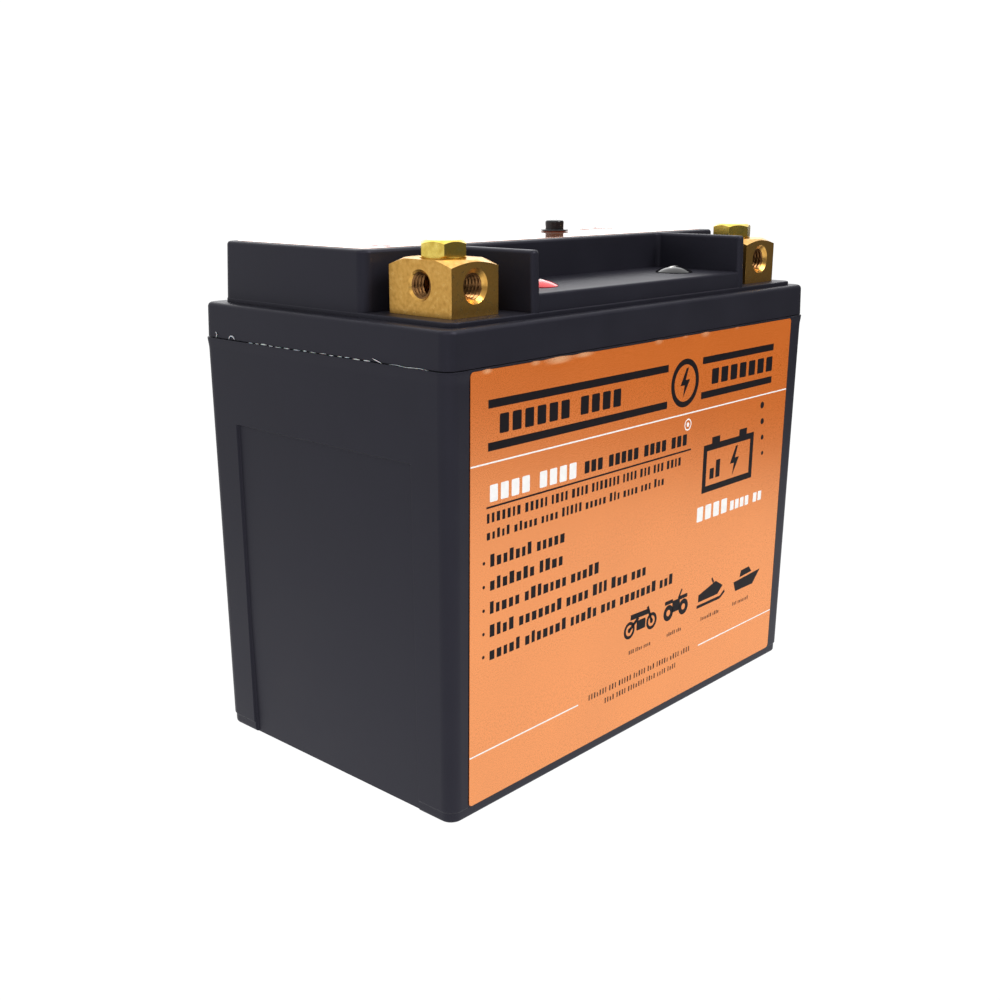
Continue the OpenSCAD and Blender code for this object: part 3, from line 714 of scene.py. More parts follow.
def lid_hollows():
    """Solids that are taken out of the underside of the lid."""
    wall, gap = LID_WALL, 1.6
    inner = rectangle(CAVITY_X - gap, -CAVITY_Y + gap, CAVITY_Y - gap)
    raised = rectangle(RAISED_X - wall, BACK_WALL_Y + wall, RAISED_BACK - wall)
    middle = rectangle(RIB_X - RIB_T - 1, RAISED_FRONT + wall, BACK_WALL_Y + wall + 1)
    hollow = prism("hollow", inner, [1.0] * 4, [(0, 100), (0, RECESS_ROOF_Z)])
    for corners, roof in ((raised, LID_ROOF_Z), (middle, PLATFORM_Z - wall)):
        combine(hollow, prism("upper", corners, [1.0] * 4, [(0, RECESS_ROOF_Z - 1), (0, roof)]), "UNION")
    for x in LIGHT_SCREW_XS:
        combine(hollow, cylinder("boss", x, BUTTON_Y, 121.5, 128, 2.6, 32), "DIFFERENCE")
    return hollow


def lid_holes():
    """(x, y, low, high, radius) of the round holes."""
    holes = [(BUTTON_X, BUTTON_Y, *ROOF_HOLE, BUSH_HOLE_R)]
    holes += [(x, BUTTON_Y, *ROOF_HOLE, LIGHT_R + 0.1) for x in LIGHT_XS]
    for place in TERMINALS.values():
        holes += [(place.x, place.y, 105, 118, STEM_R + 0.1), (place.x, place.y, 113.5, 118, SEAL_R)]
    return holes


def build_lid(material):
    lid = raised_part()
    for part in lid_parts():
        combine(lid, part, "UNION")
    combine(lid, lid_hollows(), "DIFFERENCE")
    for hole in lid_holes():
        combine(lid, cylinder("hole", *hole), "DIFFERENCE")
    return finish_piece(lid, material, HOME, ["lid"])


# ---- sealant in the seam ----

def sliver(points, radius, sides=6):
    """Points and faces of a thin strand, narrow at both ends."""
    last = len(points) - 1
    across = Vector((1, 0, 0))
    rings = []
    for i, point in enumerate(points):
        ahead = Vector(points[min(i + 1, last)]) - Vector(points[max(i - 1, 0)])
        up = ahead.normalized().cross(across).normalized()
        thin = radius * (0.35 if i in (0, last) else 1.0)
        circle = [polar(0, 0, thin, TURN * k / sides) for k in range(sides)]
        rings.append([Vector(point) + up * a + across * b for a, b in circle])
    return skin(rings)


def flash_strands(rng):
    """Dashes and curls of glue that stand out of the seam on the positive end."""
    x = -CASE_X + 0.22
    z = CASE_TOP + 0.12
    strands = []
    y = 24.5
    while y > -18:
        length = rng.uniform(1.2, 3.0)
        lift = rng.uniform(-0.05, 0.1)
        dash = [(x + rng.uniform(0, 0.08), y - length * k / 3, z + lift) for k in range(4)]
        strands.append((dash, rng.uniform(0.07, 0.14)))
        y -= length + rng.uniform(0.5, 1.6)
    tick = [(x, 37.8 - 0.5 * math.sin(k), z + 1.5 - 0.45 * k) for k in range(4)]
    hook = [(x, 31.2 + 1.1 * math.cos(0.6 * k), z + 0.1 + 0.9 * math.sin(0.6 * k)) for k in range(6)]
    drop = [(x, -20.1 - 1.0 * k, z + 0.75 - 0.26 * k) for k in range(4)]
    tail = [(x, -25.5 - 2.4 * k, z + 0.1 * math.sin(2.1 * k)) for k in range(6)]
    strands += [(tick, 0.12), (hook, 0.15), (drop, 0.11), (tail, 0.06)]
    return strands


def build_sealant(material):
    """Glue bead in the seam and the flash that stands out of it."""
    rng = random.Random(7)
    rim = rectangle(CASE_X - 1.5, -CASE_Y + 1.5, CASE_Y - 1.5)
    bead = prism("seam_bead", rim, [2.4] * 4, [(0, CASE_TOP), (0.05, CASE_TOP + 0.15), (0, SEAM_TOP)])
    inner = rectangle(CAVITY_X, -CAVITY_Y, CAVITY_Y)
    combine(bead, prism("seam_inner", inner, [CAVITY_R] * 4, [(0, 100), (0, 110)]), "DIFFERENCE")
    finish_piece(bead, material, HOME, ["seam_sealant"])
    verts, faces = [], []
    for points, radius in flash_strands(rng):
        strand, sides = sliver(points, radius)
        faces += [[len(verts) + i for i in side] for side in sides]
        verts += strand
    return finish_piece(raw("seam_flash", verts, faces), material, HOME)


# ---- front label ----

LABEL_DEPTH = 0.10      # its face lies this far inside the plane of the rim
LABEL_T = 0.12
LABEL_CORNER = 1.0
# creases along the top edge: place along X, half width, height of the crease, strength; the front foil also
# gets a painted pale highlight at each
CREASES = (
    (-62.9, 2.0, 1.0, 0.7), (-47.0, 2.2, 1.0, 0.6), (-38.6, 6.4, 1.5, 0.9), (-29.6, 4.6, 1.0, 0.8),
    (0.6, 2.2, 1.1, 0.6), (12.4, 1.6, 0.7, 0.4), (21.8, 2.6, 1.3, 0.7), (37.4, 1.3, 0.7, 0.4),
)
EDGE_RISE = 0.3         # the strongest creases lift the top edge by this much


def crease(x, z):
    """How far the foil lifts at a point, from -1 to 1."""
    lift = 0.0
    for middle, half, height, strength in CREASES:
        across = smooth(1 - abs(x - middle) / half)
        up = smooth((z - LABEL_HIGH.z + height) / height)
        dip = smooth(1 - abs(z - LABEL_HIGH.z + height) / (0.6 * height))
        lift += strength * across * (up - 0.6 * dip)
    return max(-1.0, min(1.0, lift))


def label_point(x, z, proud=0.0):
    """Point of the label face over the leaning front wall."""
    y = -CASE_Y + DRAFT * (1 - z / CASE_TOP) + LABEL_DEPTH
    lift = crease(x, z)
    near_edge = smooth((z - LABEL_HIGH.z + 1.2) / 1.2)
    return (x, y - 0.095 * lift - proud, z + EDGE_RISE * near_edge * max(lift, 0.0))


def label_rows():
    low, high = LABEL_LOW.z, LABEL_HIGH.z
    corner = [0.0, 0.08, 0.3, 0.6, LABEL_CORNER]
    rows = [low + c for c in corner]
    rows += [low + 1 + (high - 8 - low) * k / 24 for k in range(1, 25)]
    rows += [high - 7 + 6 * k / 24 for k in range(1, 24)]
    return rows + [high - c for c in reversed(corner)]


def label_row_x(z, columns):
    """Places along one row, shorter where the corners are rounded."""
    from_edge = min(z - LABEL_LOW.z, LABEL_HIGH.z - z, LABEL_CORNER)
    short = LABEL_CORNER - math.sqrt(max(0.0, LABEL_CORNER ** 2 - (LABEL_CORNER - from_edge) ** 2))
    low, high = LABEL_LOW.x + short, LABEL_HIGH.x - short
    return [low + (high - low) * i / columns for i in range(columns + 1)]


def build_front_label(material):
    """One foil sheet with rounded corners, creased along its top edge."""
    columns = 200
    rows = label_rows()
    width = columns + 1
    face = [label_point(x, z) for z in rows for x in label_row_x(z, columns)]
    back = [(x, y + LABEL_T, z) for x, y, z in face]
    count = len(face)
    faces = []
    for r in range(len(rows) - 1):
        for c in range(columns):
            a = r * width + c
            faces.append((a, a + 1, a + width + 1, a + width))
            faces.append((count + a, count + a + width, count + a + width + 1, count + a + 1))
    rim = list(range(width)) + [r * width + columns for r in range(1, len(rows))]
    rim += [(len(rows) - 1) * width + c for c in reversed(range(columns))]
    rim += [r * width for r in reversed(range(1, len(rows) - 1))]
    for a, b in zip(rim, rim[1:] + rim[:1]):
        faces.append((b, a, count + a, count + b))
    label = raw("front_label_foil", face + back, faces)
    return finish_piece(label, material, HOME, ["front_label"])


PRINT_LOW = 0.002       # a print starts and ends this far above the label's face
PRINT_HIGH = 0.014
FLASH = ((0.1, 1.0), (-0.55, -0.15), (-0.05, -0.15), (-0.2, -1.0), (0.55, 0.2), (0.05, 0.2), (0.35, 1.0))


class Print:
    """Flat printed shapes that lie on the label."""

    def __init__(self, place):
        self.place = place
        self.verts = []
        self.faces = []

    def polygon(self, points):
        """Adds a filled polygon, given counter-clockwise as seen from outside."""
        n = len(points)
        base = len(self.verts)
        for height in (PRINT_LOW, PRINT_HIGH):
            self.verts += [self.place(u, v, height) for u, v in points]
        self.faces.append([base + n + i for i in range(n)])
        self.faces.append([base + i for i in reversed(range(n))])
        for i in range(n):
            j = (i + 1) % n
            self.faces.append((base + i, base + j, base + n + j, base + n + i))

    def shape(self, u, v, size, points):
        """Adds a polygon of points relative to (u, v)."""
        self.polygon([(u + a * size, v + b * size) for a, b in points])

    def bar(self, u0, v0, u1, v1, round_by=0.0):
        """Adds a bar, with its corners cut round by round_by."""
        corners = [(u0, v0), (u1, v0), (u1, v1), (u0, v1)]
        if round_by > 0:
            corners = [point[:2] for point in outline(corners, [round_by] * 4, 0, 0, 3)]
        self.polygon(corners)

    def frame(self, u0, v0, u1, v1, width):
        """Adds a rectangular frame of four bars."""
        self.bar(u0, v0, u1, v0 + width)
        self.bar(u0, v1 - width, u1, v1)
        for u in (u0, u1 - width):
            self.bar(u, v0 + width, u + width, v1 - width)

    def stroke(self, u0, v0, u1, v1, width):
        """Adds a straight line of a given width."""
        along = Vector((u1 - u0, v1 - v0)).normalized()
        side = Vector((-along.y, along.x)) * width / 2
        ends = [(u0, v0, -1), (u1, v1, -1), (u1, v1, 1), (u0, v0, 1)]
        self.polygon([(u + side.x * s, v + side.y * s) for u, v, s in ends])

    def ring(self, u, v, outer, inner=0.0, seg=28):
        """Adds a disc, or a ring of quads."""
        circles = [[polar(u, v, radius, TURN * k / seg) for k in range(seg)] for radius in (inner, outer)]
        if inner <= 0:
            self.polygon(circles[1])
            return
        base = len(self.verts)
        for circle in circles:
            for height in (PRINT_LOW, PRINT_HIGH):
                self.verts += [self.place(*point, height) for point in circle]
        il, ih, ol, oh = (base + k * seg for k in range(4))
        for i in range(seg):
            j = (i + 1) % seg
            for a, b in ((ih, oh), (ol, il)):
                self.faces.append((a + i, b + i, b + j, a + j))
            for a, b in ((ol, oh), (ih, il)):
                self.faces.append((a + i, a + j, b + j, b + i))

    def build(self, name, material, slot):
        return finish_piece(raw(name, self.verts, self.faces), material, HOME, weld=False)


def blocks(ink, u0, u1, v, height, groups, share=0.72):
    """Greeked heading: upright blocks in groups that fill the space, with no letters."""
    pitch = (u1 - u0) / (sum(groups) + 0.7 * (len(groups) - 1) - (1 - share))
    u = u0
    for group in groups:
        for k in range(group):
            ink.bar(u, v, u + share * pitch, v + height, height * 0.08)
            u += pitch
        u += 0.7 * pitch


def words(ink, rng, u0, u1, v, height, tall=0.3, bold=1.0):
    """Greeked line: groups of small blocks of two heights, with no letters."""
    low = v + 0.12 * height
    u = u0
    while u < u1 - height:
        for k in range(rng.choice((3, 4, 5, 7))):
            wide = rng.uniform(0.34, 0.52) * height * bold
            high = 0.74 if rng.random() < tall else 0.56
            if u + wide < u1:
                ink.bar(u, low, u + wide, low + high * height)
            u += wide + (0.14 + 0.4 * (1 - bold)) * height
        u += 0.3 * height


def header(ink):
    """Two pairs of bars, two greeked words and a round badge between them."""
    for u0, u1, lows in ((-62.5, 5.4, (96.4, 86.9)), (21.2, 57.8, (96.6, 87.2))):
        for low in lows:
            ink.bar(u0, low, u1, low + 1.9)
    blocks(ink, -58.8, -14.6, 90.4, 4.4, (6, 4))
    blocks(ink, 26, 57.6, 90.7, 4.2, (7,))
    ink.ring(13.3, 92.6, 6.4, 4.9, 48)
    ink.shape(13.3, 92.6, 3.9, FLASH)


def battery_sign(ink, white):
    """Generic battery outline with a flash in it and level bars."""
    ink.frame(24, 60.5, 50, 74, 1.8)
    for u in (28, 42):
        ink.bar(u, 74, u + 4, 75.8)
    for k, u in enumerate((27.6, 30.6)):
        ink.bar(u, 64, u + 2.1, 67 + 2 * k)
    ink.shape(40.2, 67.2, 4.2, FLASH)
    white.ring(15.6, 81.2, 1.6, 1.25, 24)
    white.ring(15.6, 81.2, 0.6, 0, 16)


def two_wheeler(ink, u, v):
    for x in (-5, 5):
        ink.ring(u + x, v, 2.4, 1.5, 20)
        ink.ring(u + x, v, 0.7, 0, 12)
    ink.stroke(u - 5, v, u - 1, v + 2.6, 1.0)
    ink.stroke(u + 5, v, u + 3, v + 4.6, 0.9)
    ink.stroke(u - 4.6, v + 3.4, u + 3.4, v + 3.2, 1.5)
    ink.bar(u - 1.8, v - 1, u + 2.2, v + 1.8, 0.4)


def four_wheeler(ink, u, v):
    for x in (-3.6, 3.6):
        ink.ring(u + x, v, 2.3, 0.9, 20)
    ink.bar(u - 5.4, v + 2.5, u - 1.6, v + 3.6, 0.3)
    ink.bar(u + 1.4, v + 2.5, u + 5.4, v + 3.6, 0.3)
    ink.bar(u - 1.8, v - 0.4, u + 1.8, v + 3.0, 0.4)
    ink.stroke(u + 1, v + 3, u + 2.6, v + 5.4, 0.7)


def snow_sled(ink, u, v):
    ink.stroke(u - 7, v - 2.2, u + 5, v - 2.2, 0.9)
    ink.stroke(u + 5, v - 2.2, u + 7.4, v - 0.8, 0.9)
    ink.shape(u, v, 1, ((-6.4, -0.9), (3.6, -0.9), (6.2, 1.2), (2.4, 3.4), (-6.4, 1.2)))
    ink.stroke(u + 1.2, v + 3.2, u + 0.2, v + 4.8, 0.7)


def small_boat(ink, u, v):
    ink.shape(u, v, 1, ((-5.4, -2.6), (4.2, -2.6), (8, 1.2), (-6.6, 0.4)))
    ink.shape(u, v, 1, ((-3.4, 1.2), (3.2, 1.6), (1.6, 3.4), (-2.8, 3.2)))


# greeked lines: first and last place along X, base, height, share of tall blocks, weight
SMALL_ROWS = ((-62.7, 17.2, 70.2, 3.0, 1.0, 0.7), (-62.7, 8.8, 66.3, 3.0, 0.3, 0.7))
FOOT_ROWS = ((-23.8, 22.8, 14.7, 2.1, 0.9, 0.5), (-16.9, 15.9, 11.7, 2.0, 0.9, 0.5))
BULLET_ENDS = (-34.0, -30.2, -16.6, 1.8, 12.9)
BULLET_TOP = 60.1
BULLET_PITCH = 5.62
CAPTIONS = ((-1.8, 10.4), (14.9, 8.8), (32.7, 10.8), (49.2, 10))    # middle and width
RULES = ((84.07, LABEL_LOW.x, LABEL_HIGH.x), (15.04, LABEL_LOW.x, -28.05), (15.04, 26.55, LABEL_HIGH.x))
RULE_T = 0.36


def label_lines(ink, white, rng):
    """Rule, small rows, bullet rows, and the lines of the lower part."""
    blocks(ink, -28.2, 15.4, 75.7, 3.0, (3, 5, 4, 3))
    ink.bar(-62.9, 73.95, 17.6, 74.4)
    for row in SMALL_ROWS:
        words(ink, rng, *row)
    for row, end in enumerate(BULLET_ENDS):
        base = BULLET_TOP - BULLET_PITCH * row
        ink.ring(-63.6, base + 1.4, 0.42, 0, 12)
        words(ink, rng, -61.5, end, base - 0.4, 4.0, 0.3, 0.85)
    for u, width in CAPTIONS:
        words(ink, rng, u - width / 2, u + width / 2, 22.3, 1.5, 0.3, 0.6)
    for row in FOOT_ROWS:
        words(ink, rng, *row)
    blocks(white, -61.8, -31.4, 75.3, 3.9, (4, 4))
    blocks(white, 22.4, 37.6, 52.6, 4.2, (4,))
    blocks(white, 39.4, 56.4, 52.6, 2.8, (4, 2))


def build_label_print(dark, light):
    rng = random.Random(12)
    ink, white = Print(label_point), Print(label_point)
    header(ink)
    label_lines(ink, white, rng)
    battery_sign(ink, white)
    for k, radius in enumerate((1.0, 0.9, 0.75, 0.6)):
        ink.ring(53.6 + 0.6 * k, 81.2 - 4.8 * k, radius, 0, 16)
    for sign, u in ((two_wheeler, -2.2), (four_wheeler, 14.3), (snow_sled, 31.8), (small_boat, 50.6)):
        sign(ink, u, 29.4)
    for v, u0, u1 in RULES:
        white.bar(u0 + 0.05, v, u1 - 0.05, v + RULE_T)
    ink.build("front_label_dark_print", dark, "front_foil")
    white.build("front_label_light_print", light, "front_foil")


# ---- top label ----

SHEET_T = 0.1

def build_top_label(material, dark):
    """Glossy sheet on the raised part with openings for the button and the lights."""
    low, high = TOP_LABEL_LOW, TOP_LABEL_HIGH
    top = low.z + SHEET_T
    levels = [(0.05, low.z), (0, low.z + 0.03), (0, top - 0.03), (0.05, top)]
    sheet = prism("top_label_sheet", rectangle(high.x, low.y, high.y), [2.0] * 4, levels, 8)
    openings = [(BUTTON_X, BUSH_HOLE_R, 64)] + [(x, LIGHT_R, 32) for x in LIGHT_XS]
    for x, radius, seg in openings:
        combine(sheet, cylinder("opening", x, BUTTON_Y, 128, 131, radius, seg), "DIFFERENCE")
    finish_piece(sheet, material, HOME, ["top_label"])
    ink = Print(lambda u, v, proud: (u, v, top + proud))
    rng = random.Random(3)
    for k, x in enumerate(LIGHT_XS):
        ink.ring(x, BUTTON_Y, 2.5, 2.2, 32)
        for bar in range(k + 1):
            ink.bar(x - 1.6 + 1.2 * bar, 15.6, x - 0.9 + 1.2 * bar, 16.6 + 0.7 * bar)
    ink.ring(BUTTON_X, BUTTON_Y, 5.4, 5.1, 40)
    words(ink, rng, 20, 31, 18.6, 1.6)
    for x in (-58.6, 58.6):
        ink.bar(x - 3.4, -6.6, x + 3.4, -5.4)
    for v in (-9.4, -5.4):
        ink.bar(-59.2, v, -58.0, v + 2.8)
    ink.build("top_label_print", dark, "top_foil")


# ---- terminals ----

THREAD_ROOT = 0.12      # flat at the root, as a share of half a pitch
THREAD_FLANK = 0.72     # and the flank


def thread_radius(phase, core, crest):
    """Radius of a thread at a phase; one pitch is 1."""
    ramp = abs((phase % 1.0) * 2 - 1)
    return core + (crest - core) * min(1.0, max(0.0, (ramp - THREAD_ROOT) / THREAD_FLANK))


def threaded_rod(name, length, core, crest, start=0.0, seg=48, rows=10):
    """Upright right-hand threaded rod from z = 0 to length, plain below start."""
    steps = int(length / M6_PITCH * rows)
    rings = []
    for k in range(steps + 1):
        z = length * k / steps
        ring = []
        for i in range(seg):
            radius = thread_radius(z / M6_PITCH - i / seg, core, crest) if z >= start else core
            ring.append((*polar(0, 0, radius, TURN * i / seg), z))
        rings.append(ring)
    return loft(name, rings)


def placed(obj, matrix):
    obj.data.transform(matrix)
    return obj


def cross_cutter(depth, sink, direction):
    """Threaded hole cutter from the block's middle out along a direction, with a countersunk mouth."""
    sink_r, sink_depth = sink
    outer = depth + 1
    rod = threaded_rod("thread", outer, M6_CORE_R, M6_R, M6_R + 0.3)
    rim = M6_R - 0.12
    mouth = [(0, depth - sink_depth), (rim, depth - sink_depth), (sink_r, depth)]
    mouth += [(sink_r + 1, outer), (0, outer)]
    combine(rod, revolve("mouth", mouth, seg=64), "UNION")
    turn = Vector((0, 0, 1)).rotation_difference(Vector(direction)).to_matrix().to_4x4()
    return placed(rod, Matrix.Translation((0, 0, CROSS_HOLE_Z)) @ turn)


def block_blank():
    """Square brass block with a cone-turned top, still without holes."""
    corners = rectangle(BLOCK_X, -BLOCK_Y, BLOCK_Y)
    block = prism("blank", corners, [0.02] * 4, [(0, BLOCK_BASE), (0, BLOCK_TOP)], 1)
    cone_r, slope, height = 8.8, math.radians(24), 6.0
    low, rim = BLOCK_BASE - 5, cone_r + height / math.tan(slope)
    profile = [(0, low), (rim, low), (rim, BLOCK_TOP - height), (cone_r, BLOCK_TOP), (0, BLOCK_TOP)]
    combine(block, revolve("cone", profile, seg=128), "INTERSECT")
    return soften(block, 0.28, 2, 20)


def paint_hole_shade(block, name, side, material):
    """Gives the walls of the cross holes a darker brass, as painted shade inside the holes."""
    block.data.materials.append(material)
    reach = M6_R + 0.04
    for face in block.data.polygons:
        at = face.center / MM - TERMINALS[name].xy.to_3d()
        up = at.z - CROSS_HOLE_Z
        front = -BLOCK_Y + 0.85 < at.y < 0 and math.hypot(at.x, up) < reach
        outer = 0 < side * at.x < BLOCK_X - 0.38 and math.hypot(at.y, up) < reach
        if (front or outer) and at.z < BLOCK_TOP - 2:
            face.material_index = 1


def build_terminal(name, side, material, threads):
    """Brass block with real threads in its cross holes, on its stem."""
    block = block_blank()
    combine(block, cylinder("stem", 0, 0, STEM_LOW, BLOCK_BASE + 1, STEM_R, 48), "UNION")
    front = cross_cutter(BLOCK_Y, FRONT_SINK, (0, -1, 0))
    outer = cross_cutter(BLOCK_X, OUTER_SINK, (side, 0, 0))
    mouth, over = M6_R + 0.4, BLOCK_TOP + 0.05
    bore = [(0, BORE_LOW), (M6_R, BORE_LOW), (M6_R, BLOCK_TOP - 0.35), (mouth, over), (0, over)]
    for cutter in (front, outer, revolve("bore", bore, seg=48)):
        combine(block, cutter, "DIFFERENCE")
    placed(block, Matrix.Translation(TERMINALS[name].xy.to_3d()))
    finish_piece(block, material, HOME, [name + "_terminal"], 28)
    paint_hole_shade(block, name, side, threads)


HEX_ACROSS = 9.8
HEX_CHAMFER = math.radians(33)
HEX_TOP_R = 4.45        # the flat on top and the one below end at these radii
HEX_LOW_R = 5.2
HEAD_TURNS = {"positive": 47, "negative": 143.5}    # how the hexagons stand at rest, in degrees
BOLT_CORE_R = 2.45
BOLT_R = 2.94


def hex_head(low, high, turn):
    """Hexagon head chamfered above and below."""
    reach = HEX_ACROSS / 2 / math.cos(math.pi / 6)
    hexagon = [polar(0, 0, reach, math.radians(60 * k)) for k in range(6)]
    head = prism("head", hexagon, [0.12] * 6, [(0, low), (0, high)], 2)
    half = (high - low) / 2
    out = half / math.tan(HEX_CHAMFER)
    shape = [(0, low), (HEX_LOW_R, low), (HEX_LOW_R + out, low + half)]
    shape += [(HEX_TOP_R + out, high - half), (HEX_TOP_R, high), (0, high)]
    combine(head, revolve("chamfers", shape, seg=128), "INTERSECT")
    soften(head, 0.1, 2, 25)
    return placed(head, Matrix.Rotation(math.radians(turn), 4, "Z"))


def build_bolt(name, material):
    """Hex bolt with a rolled thread on its shank."""
    low, high = span(name + "_bolt")
    head_low = BLOCK_TOP + 0.34
    head = hex_head(head_low, high.z, HEAD_TURNS[name])
    length = head_low - low.z
    shank = threaded_rod("shank", length + 0.3, BOLT_CORE_R, BOLT_R)
    tip = [(0, -1), (2.2, -1), (2.2, 0), (3.1, 0.7), (3.1, length + 1), (0, length + 1)]
    combine(shank, revolve("tip", tip, seg=48), "INTERSECT")
    combine(head, placed(shank, Matrix.Translation((0, 0, low.z))), "UNION")
    placed(head, Matrix.Translation(TERMINALS[name].xy.to_3d()))
    head.name = name + "_hex_bolt"
    return finish_piece(head, material, name + "_bolt_turn", [name + "_bolt"], 28)


def build_washer(name, material):
    low, high = span(name + "_bolt_washer")
    inner, outer, edge = M6_R, (high.x - low.x) / 2, 0.07
    profile = [(inner, low.z), (outer - edge, low.z), (outer, low.z + edge), (outer, high.z - edge),
               (outer - edge, high.z), (inner, high.z)]
    ring = tube(name + "_thin_washer", TERMINALS[name].x, TERMINALS[name].y, profile)
    return finish_piece(ring, material, name + "_bolt_lift", [name + "_bolt_washer"])


# ---- markers, button ----

DOME_H = 1.6            # the whole marker
DOME_RIM = 0.18         # its upright rim


MARKER_SLOTS = {"positive": "red_marker", "negative": "black_marker"}
SIGN_ARM = 2.25         # half the length of a sign's bars
SIGN_HALF = 0.45        # half their width
SIGN_STEP = 0.5         # they are made of steps this long, which follow the dome


def build_marker(name, material, white):
    """Domed disc with an inlaid sign."""
    low, high = span(name + "_marker")
    x, y = (low.x + high.x) / 2, (low.y + high.y) / 2
    radius, rim_z = (high.x - low.x) / 2, low.z + DOME_RIM
    rise = DOME_H - DOME_RIM
    ball = (radius * radius + rise * rise) / (2 * rise)

    def level(r):
        return low.z + DOME_H - ball + math.sqrt(ball * ball - r * r)

    profile = [(0, low.z), (radius - 0.02, low.z), (radius, low.z + 0.05), (radius, rim_z)]
    profile += [(radius * (1 - k / 16), level(radius * (1 - k / 16))) for k in range(1, 16)]
    profile += [(0, low.z + DOME_H)]
    dome = revolve(name + "_dome", profile, x, y, 96)
    finish_piece(dome, material, HOME, [name + "_marker"])
    sign = Print(lambda u, v, proud: (x + u, y + v, level(math.hypot(u, v)) + 2.2 * proud - 0.004))
    cells = [k * SIGN_STEP - SIGN_ARM for k in range(9)]
    for u in cells:
        sign.bar(u, -SIGN_HALF, u + SIGN_STEP, SIGN_HALF)
    if name == "positive":
        for v in cells:
            if abs(v + SIGN_STEP / 2) > 0.6:
                sign.bar(-SIGN_HALF, v, SIGN_HALF, v + SIGN_STEP)
    sign.build(name + "_sign", white, MARKER_SLOTS[name])


def build_button(material):
    """Press button cap with a rounded rim, its collar and plunger."""
    low, high = BUTTON_LOW.z, BUTTON_HIGH.z
    plunger, fillet = 1.2, 0.55
    profile = [(0, low), (plunger, low), (plunger, COLLAR_LOW), (COLLAR_R, COLLAR_LOW)]
    profile += [(COLLAR_R, COLLAR_TOP), (BUTTON_R, COLLAR_TOP), (BUTTON_R, high - fillet)]
    profile += [(BUTTON_R - i, z) for i, z in round_over(0, high, fillet, 5)]
    profile += [(1.2, high - 0.02), (0, high - 0.12)]
    button = revolve("button_cap", profile, BUTTON_X, BUTTON_Y)
    return finish_piece(button, material, "push_button", ["test_button"])


def build_bush(material):
    """Flanged bush that guides the button."""
    low, high = span("button_bush")
    inner, body, flange, edge = BUTTON_R + 0.08, 3.2, 4.0, 0.15
    under = TOP_LABEL_HIGH.z + 0.02
    profile = [(inner, low.z), (body - edge, low.z), (body, low.z + edge), (body, under)]
    profile += [(flange - 0.08, under), (flange, under + 0.1), (flange, high.z - 0.14)]
    profile += [(flange - 0.16, high.z), (inner + 0.1, high.z), (inner, high.z - 0.08)]
    ring = tube("button_guide", BUTTON_X, BUTTON_Y, profile)
    return finish_piece(ring, material, HOME, ["button_bush"])


def build_spring(material):
    """Return spring: a fixed coil of wire from its foot up to its top."""
    low, high = span("button_spring")
    wire, coils, steps, sides = 0.22, 4, 24, 8
    coil_r = (high.x - low.x) / 2 - wire
    foot, top = low.z + wire, high.z - wire
    section = [polar(0, 0, wire, TURN * i / sides) for i in range(sides)]
    rings = []
    for k in range(coils * steps + 1):
        out = Vector((*polar(0, 0, 1, TURN * k / steps), 0))
        middle = out * coil_r + Vector((BUTTON_X, BUTTON_Y, foot + (top - foot) * k / (coils * steps)))
        rings.append([middle + out * a + Vector((0, 0, b)) for a, b in section])
    spring = finish_piece(loft("return_spring", rings), material, None, ["button_spring"])
    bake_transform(spring)


def build_lights(material):
    """Three domed indicator lights."""
    low, high = span("indicator_lights")
    arc = [polar(0, high.z - LIGHT_R, LIGHT_R, math.pi / 2 * k / 9) for k in range(9)]
    profile = [(0, low.z), (LIGHT_R, low.z)] + arc + [(0, high.z)]
    lights = None
    for x in LIGHT_XS:
        light = revolve("indicator_domes", profile, x, BUTTON_Y, 40)
        lights = combine(lights, light, "UNION") if lights else light
    return finish_piece(lights, material, HOME, ["indicator_lights"])


def dress_inner_nodes(finishes):
    """Gives every CAD node that stays its procedural finish."""
    for part in frame["record"]["subparts"]:
        node = frame["nodes"][part["node"]]
        finish = finishes.get(part["material_slot"])
        if finish and not node.hide_render:
            node.data.materials.clear()
            node.data.materials.append(finish)


# ---- studio ----

FLOOR_HALF = 3.0        # metres
CAMERA_AT = (-0.253034, -0.218934, 0.14618)
CAMERA_YAW = 47.902     # degrees from +Y towards +X
CAMERA_DOWN = 15.143
CAMERA_ROLL = 0.186
CAMERA_LENS = 43.944
SEEN_WHITE = 1.05       # brightness of floor and room as the camera sees them


def build_camera():
    data = bpy.data.cameras.new("camera")
    data.sensor_width = 36.0
    data.lens = CAMERA_LENS
    data.clip_start = 0.01
    camera = into_scene("camera", data)
    look = Euler((math.radians(90 - CAMERA_DOWN), 0, math.radians(-CAMERA_YAW))).to_matrix().to_4x4()
    roll = Matrix.Rotation(math.radians(CAMERA_ROLL), 4, "Z")
    camera.matrix_world = Matrix.Translation(CAMERA_AT) @ look @ roll
    bpy.context.scene.camera = camera


def softbox(name, place, target, size, power, colour=(1, 1, 1)):
    data = bpy.data.lights.new(name, "AREA")
    data.shape = "RECTANGLE"
    data.size, data.size_y = size
    data.energy = power
    data.color = colour
    lamp = into_scene(name, data)
    lamp.location = place
    aim = Vector(target) - Vector(place)
    lamp.rotation_euler = aim.to_track_quat("-Z", "Y").to_euler()
    return lamp


